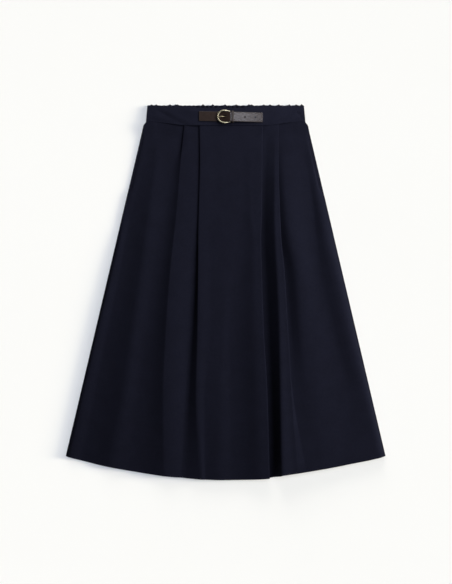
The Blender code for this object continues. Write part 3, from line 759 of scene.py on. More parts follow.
# ---------------------------------------------------------------- the skirt's block
@dataclass(frozen=True)
class SkirtBlock:
    """Sizes that every panel is cut to. DOWN is the distance from the band's seam to the hem."""

    seam_y: float = 349.85 * MM
    seam_half_width: float = 173.0 * MM
    flare: float = 0.2355
    hem_length: float = 743.5 * MM
    hem_corner_rise: float = 49.5 * MM
    hem_half_width: float = 337.0 * MM
    seam_side_rise: float = 8.6 * MM
    seam_level_half: float = 70.0 * MM
    shoulder: float = 5.6 * MM
    band_seam_half_width: float = 167.4 * MM
    band_top_half_width: float = 164.8 * MM
    band_top_up: float = 41.2 * MM
    cloth: float = 1.0 * MM
    gap: float = 0.3 * MM
    gather_rise: float = 1.0 * MM
    gather_length: float = 95.0 * MM
    pocket_top: float = 10.0 * MM
    pocket_bottom: float = 146.0 * MM
    pocket_ease: float = 16.0 * MM
    pocket_inset: float = 6.8 * MM
    facing_width: float = 20.0 * MM
    facing_top: float = 5.0 * MM
    facing_bottom: float = 152.0 * MM
    edge_settle: float = 95.0 * MM
    edge_ease: float = 60.0 * MM
    gathers: int = 32
    drifts: tuple[tuple[float, int, float], ...] = ((0.006, 3, 0.0), (0.004, 7, 1.0))

    def half_width(self, down: Array) -> Array:
        """Half the width: straight side seams that round in to the band at the top."""
        shoulder = self.shoulder * ease(-down / self.seam_side_rise)
        return self.seam_half_width + self.flare * np.maximum(down, 0.0) - shoulder

    def seam_down(self, across: Array) -> Array:
        """The seam under the band, which rises towards the side seams."""
        room = self.band_seam_half_width - self.seam_level_half
        return -self.seam_side_rise * ease((np.abs(across) - self.seam_level_half) / room)

    def hem_down(self, across: Array) -> Array:
        """The hem: a parabola, lowest in the middle."""
        return self.hem_length - self.hem_corner_rise * (across / self.hem_half_width) ** 2

    def gather_fade(self, down: Number) -> Array:
        """1 at the band, 0 where the back panel's gathers have run out."""
        return 1 - ease(down / self.gather_length)

    def flat_level(self, down: Array) -> Array:
        """Middle of front cloth lying flat: 1.5 cloths, over the back's gathers and a gap."""
        return 1.5 * self.cloth + self.gather_rise * self.gather_fade(down) + self.gap

    def pocket_open(self, down: Array) -> Array:
        """1 along the pocket opening, easing to 0 at its two ends."""
        opens = ease((down - self.pocket_top) / self.pocket_ease)
        return opens * ease((self.pocket_bottom - down) / self.pocket_ease)

    def over_facing(self, down: Array) -> Array:
        """Rise of the front panel's edges over the pocket facings, easing out below them."""
        settle = ease((self.facing_bottom + self.edge_settle - down) / self.edge_ease)
        return (self.cloth + self.gap) * settle

    def band_half_width(self, up: Array) -> Array:
        """Half the bands' width at a height over the seam."""
        slope = (self.band_top_half_width - self.band_seam_half_width) / self.band_top_up
        return self.band_seam_half_width + slope * up

    def gather_wave(self, across: Array) -> Array:
        """Gathers, unevenly apart: (1 - cos(2 pi gathers x place)) / 2.

        The place is the share across plus drifts, size x sin(2 pi waves x share + start).

        Args:
            across: places across, from -1 to 1.

        Returns:
            0 in the hollows, 1 on the crests.
        """
        share = across / 2 + 0.5
        place = share
        for size, waves, start in self.drifts:
            place = place + size * np.sin(2 * waves * math.pi * share + start)
        return 0.5 - 0.5 * np.cos(2 * math.pi * self.gathers * place)


@dataclass(frozen=True)
class FoldLine:
    """A crest or trough of the front panel.

    lift is how far the hem is drawn up there. leave and arrive are how widely the cloth turns as
    it leaves this line and as it comes to the next, in shares of the room between the two.
    across and height are in millimetres, one value for each level.
    """

    name: str
    lift: float
    leave: float
    arrive: float
    across: tuple[float, ...]
    height: tuple[float, ...]


LEVELS = (0, 70, 180, 240, 300, 430, 560, 745)
FOLD_LINES = (
    FoldLine("left_rim", 0, 0.45, 0.45,
             (-164, -178, -209, -222, -236, -267, -297, -338),
             (1.4, 1.6, 1.8, 3.6, 4.8, 5.4, 5.4, 5.2)),
    FoldLine("left_dip", 0, 0.75, 0.2,
             (-152, -166, -196, -209, -219, -246, -272, -307),
             (1.4, 1.2, 1, 0.9, 0.8, 0.8, 0.8, 0.8)),
    FoldLine("left_ridge", 1, 0.3, 0.6,
             (-143, -147, -159, -167, -174, -193, -211, -246),
             (0.4, 2.4, 5.5, 6.5, 7, 8, 8.5, 8.5)),
    FoldLine("outer_left_in", 1, 0.88, 0.08,
             (-59, -107, -127, -134, -144, -164, -180, -196),
             (0, 0.6, 2, 3, 3.5, 4, 4, 4)),
    FoldLine("outer_left", 1, 0.82, 0.12,
             (-86.5, -93.5, -102, -108.5, -114.8, -124, -129.5, -127),
             (2.6, 5, 8, 9.8, 11.3, 13.5, 13.8, 12.5)),
    FoldLine("inner_left_in", 1, 0.45, 0.25,
             (-26.5, -30, -38, -48, -60.5, -72.5, -81.5, -92),
             (2.6, 3, 4, 4.2, 4, 3.2, 4, 6.5)),
    FoldLine("inner_left", 0, 0.45, 0.45,
             (-54.5, -53.5, -56, -57, -57, -57.5, -60, -50),
             (5.2, 7.3, 9.2, 11, 12.3, 13.5, 14, 12.5)),
    FoldLine("middle_dip", 0, 0.45, 0.45,
             (-16, -20, -24.5, -27, -28, -28, -42, -42),
             (5.2, 6.6, 9, 9.8, 10, 10.4, 11, 9.5)),
    FoldLine("middle_ridge", 0, 0.45, 0.45,
             (-4, -4, -4, -4, -6, -8, -13, -13),
             (5.2, 7, 9.3, 10, 10.2, 10.2, 12, 12)),
    FoldLine("right_dip", 0, 0.64, 0.33,
             (26, 30, 33, 28, 22, 10, 13, 15),
             (5.2, 7.2, 10, 9.5, 9.3, 9, 9.2, 9.5)),
    FoldLine("right_crest", 0, 0.4, 0.5,
             (56, 54, 55, 65, 66, 71, 77, 80),
             (5.2, 8.4, 12, 13.8, 15.3, 18.2, 19.2, 18.1)),
    FoldLine("inner_right", 0, 0.15, 0.6,
             (77, 76, 75, 73, 74.2, 78.2, 85.6, 90.6),
             (5.2, 9, 12.6, 14.2, 15.5, 18.4, 19.4, 18.2)),
    FoldLine("inner_right_in", 0, 0.45, 0.45,
             (49, 52, 58, 60, 61, 68, 76, 83),
             (2.6, 2.6, 2, 1.5, 1, 0.5, 0.5, 0.5)),
    FoldLine("valley", 0, 0.5, 0.2,
             (86, 80, 74, 73, 76, 82, 88, 95),
             (2.6, 2.4, 0.3, 0, 0, 0, 0, 0)),
    FoldLine("roll_left", 5, 0.3, 0.6,
             (105, 104.4, 104.2, 106, 109.5, 114.8, 117, 120),
             (2.6, 7.6, 14.5, 17.5, 18.5, 20.5, 23.5, 28)),
    FoldLine("roll_right", 5, 0.2, 0.4,
             (110, 109.8, 112.4, 115, 121, 129, 137, 150),
             (2.6, 7.6, 14, 17, 17.8, 19, 20, 22)),
    FoldLine("outer_right_in", 5, 0.4, 0.5,
             (84, 101, 105, 108, 120, 131, 141, 176),
             (0, 0.3, 0.8, 1, 2, 5, 13.2, 18.5)),
    FoldLine("right_ridge", 5, 0.45, 0.45,
             (139, 123, 131, 139, 152.5, 163, 176, 206),
             (0.4, 4, 9.2, 12.2, 12.4, 13.6, 15.6, 17)),
    FoldLine("right_hollow", 4, 0.45, 0.45,
             (156, 166, 182, 186, 193, 221, 252, 262),
             (1.4, 2, 3.2, 4.4, 5.4, 7, 9.4, 13.5)),
    FoldLine("right_rim", 1, 0.75, 0.2,
             (164, 179.5, 200, 212, 227, 256, 289, 331),
             (1.4, 2.8, 7.2, 9.6, 11, 12.2, 12.4, 11)),
)


@dataclass(frozen=True)
class Crease:
    """A soft crease or ridge pressed into a band, from start to end, by depth over width."""

    start: tuple[float, float]
    end: tuple[float, float]
    depth: float
    width: float
    fade: float = 1.5

    def press(self, x: Array, y: Array) -> Array:
        """Depth x bell(distance aside / width) x bell(distance past an end / (fade x width)).

        Args:
            x: places across.
            y: places along the skirt.

        Returns:
            Change of height at each place.
        """
        run = np.subtract(self.end, self.start)
        length = float(np.hypot(*run))
        along = ((x - self.start[0]) * run[0] + (y - self.start[1]) * run[1]) / length
        aside = ((x - self.start[0]) * run[1] - (y - self.start[1]) * run[0]) / length
        past = np.maximum(np.maximum(-along, along - length), 0.0)
        return self.depth * bell(aside / self.width) * bell(past / (self.fade * self.width))


# ---------------------------------------------------------------- cloth panels
@dataclass
class FrontPanel:
    """The pleated front: one sheet of cloth through all the fold lines, with a turned hem.

    Its top lies on the back panel's gathers at the sides, so it rises towards the seam there.
    """

    block: SkirtBlock
    rows: int = 150
    row_crowding: float = 1.2
    arc_steps: int = 4
    straight_step: float = 4.5 * MM
    fewest_steps: int = 2
    most_steps: int = 9
    tightest_turn: float = 0.8 * MM
    least_rise: float = 0.001 * MM
    fit_rounds: int = 4
    edge_turns: tuple[float, float] = (0.45, 0.45)
    thickness: float = 0.8 * MM
    hem_turn: float = 22.0 * MM
    hem_step: float = 2.0 * MM
    hem_extra: float = 0.35 * MM
    seam_rise: float = 2.0 * MM
    seam_rise_from: float = 58.0 * MM
    seam_rise_ease: float = 30.0 * MM
    cut: tuple[float, float] = (0.76, 0.76)

    def fold_grid(self, part: Array) -> tuple[Array, Array]:
        """Places and heights of the fold lines, the two edges included.

        The seam's and the hem's distance down depend on the place across and the other way
        round, so both are fitted to each other in a few rounds.

        Args:
            part: shares of the way from seam to hem, one a row.

        Returns:
            Distance across and height, rows by lines.
        """
        block = self.block
        levels = np.array(LEVELS, float) * MM
        tables = [np.array(line.across, float) * MM for line in FOLD_LINES]
        heights = [np.array(line.height, float) * MM for line in FOLD_LINES]

        def across_at(down: Array) -> Array:
            """Distance across of the edges and lines.

            Args:
                down: distance down of each, rows by lines.

            Returns:
                Distance across, rows by lines.
            """
            inner = [track(levels, table, down[:, i + 1]) for i, table in enumerate(tables)]
            left, right = (block.pocket_inset * block.pocket_open(down[:, i])
                           - block.half_width(down[:, i]) for i in (0, -1))
            return np.stack([left, *inner, -right], axis=1)

        count = len(FOLD_LINES) + 2
        top = np.zeros((1, count))
        hem = np.full((1, count), block.hem_length)
        for _ in range(self.fit_rounds):
            top = block.seam_down(across_at(top))
            hem = block.hem_down(across_at(hem)) - self.hem_lifts()
        down = between(top, hem, part[:, None])
        inner = [track(levels, table, down[:, i + 1]) for i, table in enumerate(heights)]
        left, right = (block.over_facing(down[:, i]) for i in (0, -1))
        return across_at(down), np.stack([left, *inner, right], axis=1) + block.flat_level(down)

    def hem_lifts(self) -> Array:
        """How far the hem is drawn up at the left edge, each fold line and the right edge."""
        return np.array([0.0] + [line.lift * MM for line in FOLD_LINES] + [0.0])

    def bend(
        self, across: Array, rise: Array, leave: float, arrive: float, straight: int
    ) -> tuple[Array, Array, Array]:
        """Level arc, straight, level arc, that carry the cloth across by a and up by h.

        The room is h / 2 where the cloth doubles back and h / 2 + a squared / (2 h) where it
        runs on. The radii are the given shares of it. The straight is as long as the root of
        a squared + h squared - 2 h (sum of radii), and each arc turns by
        atan2(h - sum, a) + atan2(sum, straight).

        Args:
            across: a for each row.
            rise: h for each row.
            leave: share of the room that the first radius takes.
            arrive: share that the second takes.
            straight: number of steps along the straight.

        Returns:
            Places across, heights and headings, rows by points.
        """
        size = np.maximum(np.abs(rise), self.least_rise)
        room = size / 2 + np.maximum(across, 0.0) ** 2 / (2 * size)
        tightest = np.minimum(room / 2, self.tightest_turn)
        before = np.clip(leave * room, tightest, room - tightest)
        after = np.clip(arrive * room, tightest, room - before)
        both = before + after
        run = np.sqrt(np.maximum(across**2 + size**2 - 2 * size * both, 0.0))
        turn = (np.arctan2(size - both, across) + np.arctan2(both, run))[:, None]
        part = np.linspace(0.0, 1.0, self.arc_steps + 1)
        way = np.where(rise < 0, -1.0, 1.0)[:, None]
        first = turn * part
        x_first = before[:, None] * np.sin(first)
        z_first = before[:, None] * (1 - np.cos(first))
        last = turn * part[::-1]
        x_last = across[:, None] - after[:, None] * np.sin(last)
        z_last = size[:, None] - after[:, None] * (1 - np.cos(last))
        share = (np.arange(1, straight) / straight)[None]
        x_mid = between(x_first[:, -1:], x_last[:, :1], share)
        z_mid = between(z_first[:, -1:], z_last[:, :1], share)
        x = np.concatenate([x_first, x_mid, x_last], axis=1)
        z = np.concatenate([z_first, z_mid, z_last], axis=1)
        heading = np.concatenate([first, np.broadcast_to(turn, x_mid.shape), last], axis=1)
        return x, z * way, heading * way

    def surface(self) -> tuple[Array, Array, Array, Array]:
        """The whole front, row by row from seam to hem, with the seam's rise at the sides.

        Returns:
            Middle points, normals, flat cloth coordinates and thickness.
        """
        block = self.block
        part = np.linspace(0.0, 1.0, self.rows) ** self.row_crowding
        across, height = self.fold_grid(part)
        lifts = self.hem_lifts()
        turns = [self.edge_turns] + [(line.leave, line.arrive) for line in FOLD_LINES]
        xs, zs, headings, drawn_up = [], [], [], []
        for i, (leave, arrive) in enumerate(turns):
            run = across[:, i + 1] - across[:, i]
            rise = height[:, i + 1] - height[:, i]
            steps = np.abs(run).mean() / self.straight_step
            steps = int(np.clip(steps, self.fewest_steps, self.most_steps))
            x, z, heading = self.bend(run, rise, leave, arrive, steps)
            keep = slice(0, None) if i == 0 else slice(1, None)
            xs.append((x + across[:, i : i + 1])[:, keep])
            zs.append((z + height[:, i : i + 1])[:, keep])
            headings.append(heading[:, keep])
            drawn_up.append(np.linspace(lifts[i], lifts[i + 1], x.shape[1])[keep])
        x, z, heading = (np.concatenate(pieces, axis=1) for pieces in (xs, zs, headings))
        hem = block.hem_down(x[-1]) - np.concatenate(drawn_up)
        top = block.seam_down(x[0])
        down = between(top, hem, part[:, None])
        at_side = ease((np.abs(x) - self.seam_rise_from) / self.seam_rise_ease)
        z = z + self.seam_rise * at_side * (1 - ease((down - top) / self.seam_rise_ease))
        middle = grid(x, block.seam_y - down, z)
        normal = grid(-np.sin(heading), 0.0, np.cos(heading))
        flat = grid(length_along(middle, 1), down)
        near_hem = ease((down - hem + self.hem_turn) / self.hem_step + 1)
        return middle, normal, flat, self.thickness + self.hem_extra * near_hem

    def build(self, cloth: Material) -> Piece:
        """Makes and dresses the front, and reports its width and area.

        Args:
            cloth: its material.

        Returns:
            The dressed front.
        """
        middle, normal, flat, thickness = self.surface()
        piece = cloth_shell("front_cloth", middle, normal, thickness, flat)
        dress(piece, cloth, "cloth", "skirt_front")
        area = flat[:, -1, 0].mean() * (middle[0, 0, 1] - middle[-1, 0, 1])
        LOG.info("front cloth: %.3f m wide at the seam, %.3f m at the hem, about %.3f m2",
                 flat[0, -1, 0], flat[-1, -1, 0], area)
        return piece


@dataclass
class BackPanel:
    """The plain back, gathered along its top, flat on the surface."""

    block: SkirtBlock
    columns: int = 321
    gathered_rows: int = 22
    plain_rows: int = 40
    fullness: float = 1.35
    hem_shorter: float = 4.0 * MM
    hem_narrower: float = 0.5 * MM
    thickness: float = 0.9 * MM

    def build(self, cloth: Material) -> Piece:
        """Rows through the gathers, then straight to the hem: z = half the cloth + fade x wave.

        Args:
            cloth: its material.

        Returns:
            The dressed panel.
        """
        block = self.block
        across = np.linspace(-1.0, 1.0, self.columns)
        near = np.linspace(0.0, 1.0, self.gathered_rows)[:, None]
        far = np.linspace(0.0, 1.0, self.plain_rows)[1:, None]
        start = block.seam_down(across * block.band_seam_half_width)[None]
        down = between(start, block.gather_length, near)
        rise = block.gather_rise * block.gather_fade(near * block.gather_length)
        rise = rise * block.gather_wave(across)
        hem = block.hem_down(across * block.hem_half_width)[None] - self.hem_shorter
        lower = between(down[-1:], hem, far)
        half = block.half_width(down[:, :1])
        wide = block.half_width(hem[:, :1]) - self.hem_narrower
        x = across * np.concatenate([half, between(half[-1:], wide, far)])
        down = np.concatenate([down, lower])
        z = np.concatenate([rise, np.zeros_like(lower)]) + self.thickness / 2
        middle = grid(x, block.seam_y - down, z)
        flat = grid(x * self.fullness, down)
        piece = cloth_shell("back_cloth", middle, UP, self.thickness, flat)
        dress(piece, cloth, "cloth", "skirt_back")
        return piece


@dataclass
class PocketFacing:
    """A strip on the back panel that shows past the front's edge on one side."""

    block: SkirtBlock
    side: Side
    thickness: float = 0.8 * MM
    rows: int = 60
    columns: int = 12
    roll: float = 0.25 * MM
    roll_width: float = 1.5 * MM

    def build(self, cloth: Material) -> Piece:
        """A flat grid, x = sign x (half width - inwards), that rolls down a little at its outside.

        Args:
            cloth: its material.

        Returns:
            The dressed strip.
        """
        block = self.block
        side = self.side.name.lower()
        down = np.linspace(block.facing_top, block.facing_bottom, self.rows)[:, None]
        inwards = np.linspace(0.0, block.facing_width, self.columns)[None]
        x = self.side.value * (block.half_width(down) - inwards)
        z = block.flat_level(down) - self.roll * bell(inwards / self.roll_width)
        middle = grid(x, block.seam_y - down, z)
        piece = cloth_shell(f"facing_{side}", middle, UP, self.thickness, grid(inwards, down))
        dress(piece, cloth, "cloth_inside", f"pocket_facing_{side}")
        return piece


# ---------------------------------------------------------------- bands
@dataclass
class FrontBand:
    """The smooth, doubled front band, folded along its top, with a few soft pulls in the cloth."""

    block: SkirtBlock
    dip: float = 3.8 * MM
    dip_from: float = -80.0 * MM
    dip_to: float = 56.0 * MM
    dip_ease: float = 25.0 * MM
    thickness: float = 2.0 * MM
    middle_z: float = 8.2 * MM
    side_z: float = 4.4 * MM
    crown_half: float = 62.0 * MM
    crown_fade: float = 105.0 * MM
    top_sag: float = 0.4
    sag_from: float = 0.78
    tuck: float = 0.2 * MM
    tuck_share: float = 0.28
    thinning: float = 0.55
    lean: float = 1.8 * MM
    side_from: float = 60.0 * MM
    side_ease: float = 45.0 * MM
    pucker: float = 0.12 * MM
    pucker_pitch: float = 5.3 * MM
    pucker_fade: float = 6.0 * MM
    wave: float = 0.15 * MM
    wave_pitch: float = 37.0 * MM
    wave_start: float = 0.8
    behind: float = 0.6
    columns: int = 240
    face_rows: int = 22
    fold_steps: int = 7
    creases: tuple[Crease, ...] = (
        Crease((-0.1379, 0.3788), (-0.0854, 0.3515), -0.7 * MM, 5.0 * MM),
        Crease((-0.128, 0.381), (-0.078, 0.357), 0.4 * MM, 5.0 * MM),
        Crease((0.1519, 0.3767), (0.1645, 0.3620), -0.6 * MM, 3.0 * MM),
        Crease((0.1204, 0.3599), (0.1498, 0.3746), -0.6 * MM, 3.5 * MM),
        Crease((0.126, 0.356), (0.156, 0.371), 0.4 * MM, 3.5 * MM),
        Crease((-0.162, 0.366), (-0.140, 0.360), -0.35 * MM, 4.0 * MM),
        Crease((0.095, 0.352), (0.125, 0.3545), -0.3 * MM, 3.0 * MM),
    )

    def top_up(self, x: Array) -> Array:
        """Upper edge over the seam: level, less an eased dip in the middle."""
        dipped = ease((x - self.dip_from) / self.dip_ease) * ease((self.dip_to - x) / self.dip_ease)
        return self.block.band_top_up - self.dip * dipped

    def height(self, x: Array, part: Array) -> Array:
        """Middle of the band: raised over the pleats, sinking to its top edge and sides.

        Args:
            x: places across.
            part: shares of the way from the band's lower edge to its upper one.

        Returns:
            Height at each place.
        """
        crown = 1 - ease((np.abs(x) - self.crown_half) / self.crown_fade)
        sag = 1 - self.top_sag * ease((part - self.sag_from) / (1 - self.sag_from))
        return self.side_z + (self.middle_z - self.side_z) * crown * sag

    def build(self, cloth: Material) -> Piece:
        """Carries a flat, round-edged ring across the skirt.

        The ring runs up the front face, over the fold by a half turn of half the thickness, down
        the back face, and round under. Towards the sides its lower edge is pressed thin and
        tucked down, and the whole band leans, its top lower than its bottom by the lean. Each
        face adds the creases, a broad wave and a fine pucker, height x sin(2 pi x / pitch), that
        fades away from the seam. The back face takes a smaller share of these.

        Args:
            cloth: its material.

        Returns:
            The dressed band.
        """
        block = self.block
        radius = self.thickness / 2
        face = np.linspace(0.0, 1.0, self.face_rows)
        turn = np.linspace(0.0, math.pi, self.fold_steps + 2)[1:-1]
        zero, one = np.zeros_like(face), np.ones_like(face)
        part = np.concatenate([face, np.ones_like(turn), face[::-1], np.zeros_like(turn)])
        beyond = radius * np.concatenate([zero, np.sin(turn), zero, -np.sin(turn)])
        offset = radius * np.concatenate([one, np.cos(turn), -one, -np.cos(turn)])
        across = np.linspace(-1.0, 1.0, self.columns)[:, None]
        x = across * block.band_half_width(part * block.band_top_up)[None]
        low = block.gap - block.seam_down(across * block.band_seam_half_width) + radius
        up = between(low, self.top_up(x) - radius, part) + beyond
        y = block.seam_y + up
        at_side = ease((np.abs(x) - self.side_from) / self.side_ease)
        tucked = at_side * (1 - ease(part / self.tuck_share))
        z = self.height(x, part) - self.tuck * tucked - self.lean * at_side * (part - 0.5)
        z = z + offset * (1 - self.thinning * tucked)
        relief = sum(crease.press(x, y) for crease in self.creases)
        ripple = np.sin(2 * math.pi * x / self.pucker_pitch)
        relief = relief + self.pucker * ripple * bell((up - low) / self.pucker_fade)
        swell = np.sin(2 * math.pi * x / self.wave_pitch + self.wave_start)
        relief = relief + self.wave * swell * np.sin(math.pi * part)
        rings = grid(x, y, z + relief * np.where(offset > 0, 1.0, self.behind))
        piece = swept_skin("front_band", rings, grid(x, length_along(rings, 1)))
        dress(piece, cloth, "cloth", "waistband_front")
        return piece


@dataclass
class BackBand:
    """The back band drawn up by its elastic, stitched in rows, with a frill along the top.

    The tufts are the places across, in millimetres, where the frill stands up.
    """

    block: SkirtBlock
    frill_up: float = 43.4 * MM
    thickness: float = 1.3 * MM
    gather_rise: float = 1.2 * MM
    frill_rise: float = 0.7 * MM
    scallop: float = 0.4 * MM
    ragged: float = 0.3 * MM
    ragged_waves: int = 53
    ragged_start: float = 0.7
    tuft_rise: float = 2.4 * MM
    tuft_half: float = 2.1 * MM
    tufts: tuple[float, ...] = (
        -156, -146, -117, -105, -101, -48, -27, -1, 22, 49, 54, 80, 93, 112, 134, 148, 160
    )
    frill_from: float = 0.85
    elastic_rows: tuple[float, ...] = (0.14, 0.38, 0.62, 0.85)
    elastic_width: float = 0.035
    pinch: float = 0.6
    fullness: float = 1.6
    columns: int = 385
    rows: int = 30

    def build(self, cloth: Material) -> Piece:
        """z = half the cloth + wave x (gather rise x (1 - pinch at an elastic row) + frill).

        The top edge follows the wave a little, and stands up in a few uneven tufts of the frill.

        Args:
            cloth: its material.

        Returns:
            The dressed band.
        """
        block = self.block
        across = np.linspace(-1.0, 1.0, self.columns)[None]
        part = np.linspace(0.0, 1.0, self.rows)[:, None]
        wave = block.gather_wave(across)
        x = across * block.band_half_width(part * block.band_top_up)
        ragged = np.sin(2 * math.pi * self.ragged_waves * across + self.ragged_start)
        high = self.frill_up + self.scallop * (wave - 0.5) + self.ragged * ragged * (1 - np.abs(across))
        tuft = sum(bell((x[-1:] - place * MM) / self.tuft_half) for place in self.tufts)
        high = high + self.tuft_rise * tuft
        low = block.gap - block.seam_down(across * block.band_seam_half_width)
        y = block.seam_y + between(low, high, part)
        frill = ease((part - self.frill_from) / (1 - self.frill_from))
        pinched = sum(bell((part - row) / self.elastic_width) for row in self.elastic_rows)
        rise = (self.gather_rise * (1 - self.pinch * pinched) + self.frill_rise * frill) * wave
        middle = grid(x, y, self.thickness / 2 + rise)
        piece = cloth_shell("back_band", middle, UP, self.thickness, grid(x * self.fullness, y))
        dress(piece, cloth, "cloth_inside", "waistband_back")
        return piece


# ---------------------------------------------------------------- belt detail
@dataclass(frozen=True)
class BeltLayout:
    """Places and heights that the belt's pieces share."""

    band_face: float = 9.2 * MM
    gap: float = 0.3 * MM
    left: float = -55.8 * MM
    right: float = 77.8 * MM
    width: float = 20.4 * MM
    thickness: float = 1.5 * MM
    middle_y: float = 368.7 * MM
    slant: float = -0.022
    hole_pitch: float = 21.3 * MM
    hole_radius: float = 1.9 * MM
    first_hole: float = 62.0 * MM
    open_holes: int = 2
    prong_hole: int = 3
    slot_length: float = 6.5 * MM
    slot_width: float = 3.2 * MM
    bar_x: float = 9.0 * MM
    bar_radius: float = 1.1 * MM
    tab_thickness: float = 1.0 * MM
    tab_width: float = 18.0 * MM
    tab_lower_end: float = 42.0 * MM
    tab_upper_end: float = 35.0 * MM
    keeper_x: float = 14.8 * MM
    keeper_width: float = 4.4 * MM
    keeper_thickness: float = 1.0 * MM
    keeper_ease: float = 0.4 * MM
    keeper_foot: float = 1.5 * MM
    keeper_corner: float = 1.2 * MM
    frame_left: float = -18.6 * MM
    frame_height: float = 25.5 * MM
    frame_radius: float = 1.9 * MM
    frame_arm_level: float = -8.0 * MM
    frame_roundness: float = 1.11
    frame_draw_in: float = 1.0 * MM
    frame_end_radius: float = 1.2 * MM
    frame_corner: float = 2.2 * MM
    frame_lift: float = 0.8 * MM
    prong_radius: float = 0.85 * MM
    hook_radius: float = 0.65 * MM
    tip_radius: float = 0.5 * MM

    def line_y(self, x: Number) -> Number:
        """The belt's middle line, a little aslant."""
        return self.middle_y + self.slant * x

    def tab_lower_z(self) -> float:
        """Middle height of the tab's lower end."""
        return self.band_face + self.gap + self.tab_thickness / 2

    def bar_z(self) -> float:
        """Height of the bar's middle."""
        return self.tab_lower_z() + self.tab_thickness / 2 + self.gap + self.bar_radius

    def flat_z(self) -> float:
        """Middle height of the strap where it lies on the band."""
        return self.band_face + self.gap + self.thickness / 2

    def tab_upper_z(self) -> float:
        """Middle height of the tab's upper end, which lies on the lower one."""
        return self.tab_lower_z() + self.tab_thickness + self.gap

    def rim_z(self) -> float:
        """Middle height of the buckle's rim, which lies over the strap."""
        return self.flat_z() + self.thickness / 2 + self.gap + self.frame_radius + self.frame_lift

    def hole_x(self, number: int) -> float:
        """Place of a punched hole, counted from the strap's end."""
        return self.first_hole - number * self.hole_pitch

    def strap_route(self) -> tuple[Array, Array]:
        """The strap's way over the tab and the bar, chosen between the solids' heights.

        Returns:
            Places along the strap, from its left end, and the heights of its middle there.
        """
        flat, half = self.flat_z(), self.thickness / 2
        over_tab = self.tab_upper_z() + self.tab_thickness / 2 + self.gap + half
        over_bar = self.bar_z() + self.bar_radius + 2 * (self.gap + self.hook_radius) + half
        route = (
            (self.left, flat),  # sewn end
            (-24 * MM, flat),  # just left of the buckle's rim
            (-11 * MM, flat + 0.3 * MM),  # past the rim, starting to climb
            (self.bar_x - 5 * MM, over_bar - 0.9 * MM),
            (self.bar_x, over_bar),
            (self.keeper_x, over_bar - 0.5 * MM),
            (self.tab_upper_end, over_tab + 0.4 * MM),
            (self.tab_lower_end + 3 * MM, over_tab - 0.55 * MM),
            (66 * MM, flat + 0.6 * MM),  # all but down on the band
            (self.right, flat),  # sewn end
        )
        return np.array([place for place, _ in route]), np.array([height for _, height in route])

    def strap_height(self, x: Number) -> Number:
        """Height of the strap's middle at a place along it."""
        places, heights = self.strap_route()
        return track(places, heights, x)


@dataclass(frozen=True)
class LeatherCut:
    """A leather strip's cut: flat faces with a tooled line near each edge, and round edges.

    corner is how far in from the edge the rounding starts, at most that share of the thickness.
    """

    layout: BeltLayout
    width: float
    thickness: float
    corner: float = 0.6 * MM
    corner_share: float = 0.6
    tool_depth: float = 0.12 * MM
    tool_inset: float = 1.7 * MM
    tool_width: float = 0.35 * MM
    # Widths of the painted highlight along the sides and at the ends.
    highlight_side: float = 0.9 * MM
    highlight_end: float = 0.7 * MM
    face_points: int = 26
    edge_points: int = 7

    def outline(self) -> tuple[Array, Array, Array]:
        """The upper face is half the thickness, less depth x bell((edge distance - inset) / width).

        Returns:
            Offsets across and up, and nearness to the edge, one of each for a point round.
        """
        half, rise = self.width / 2, self.thickness / 2
        corner = min(self.corner, self.corner_share * self.thickness)
        face = np.linspace(-half + corner, half - corner, self.face_points)
        tooled = self.tool_depth * bell((half - np.abs(face) - self.tool_inset) / self.tool_width)
        turn = np.linspace(math.pi / 2, -math.pi / 2, self.edge_points + 2)[1:-1]
        edge_side = half - corner + corner * np.cos(turn)
        edge_up = rise * np.sin(turn)
        side = np.concatenate([face, edge_side, face[::-1], -edge_side])
        up = np.concatenate([rise - tooled, edge_up, np.full_like(face, -rise), -edge_up])
        return side, up, bell((half - np.abs(side)) / self.highlight_side)

    def carry(self, name: str, path: Array, sideways: bool = False) -> Piece:
        """Carries the outline along a path.

        Args:
            name: object name.
            path: points (x, z) for a strip along the belt, or (y, z) for a loop across it.
            sideways: True for a loop across the belt, at the keeper's place.

        Returns:
            The strip.
        """
        layout = self.layout
        side, up, near = self.outline()
        along = unit(np.gradient(path, axis=0))
        lead = path[:, None] + grid(-along[:, 1], along[:, 0])[:, None] * up[None, :, None]
        if sideways:
            centre = layout.keeper_x
            rings = grid(centre + side, layout.line_y(centre) + lead[..., 0], lead[..., 1])
        else:
            rings = grid(lead[..., 0], layout.line_y(path[:, :1]) + side, lead[..., 1])
        run = length_along(path, 0)
        uv = grid(run[:, None], length_along(grid(side, up), 0)[None])
        ends = bell(np.minimum(run, run[-1] - run) / self.highlight_end)[:, None]
        return swept_skin(name, rings, uv, edge=np.maximum(near, ends), sharp_degrees=LEATHER_SHARP)


def cut_through(piece: Piece, cutters: list[Piece]) -> None:
    """Takes the cutters' shapes out of a piece for good, and removes the cutters.

    Args:
        piece: the piece to cut.
        cutters: closed bodies.
    """
    for cutter in cutters:
        hole = piece.modifiers.new(cutter.name, "BOOLEAN")
        hole.operation = "DIFFERENCE"
        hole.object = cutter
    bpy.context.view_layer.update()
    finished = piece.evaluated_get(bpy.context.evaluated_depsgraph_get())
    mesh = bpy.data.meshes.new_from_object(finished)
    mesh.set_sharp_from_angle(angle=math.radians(LEATHER_SHARP))
    piece.modifiers.clear()
    old = piece.data
    piece.data = mesh
    bpy.data.meshes.remove(old)
    for cutter in cutters:
        bpy.data.objects.remove(cutter, do_unlink=True)


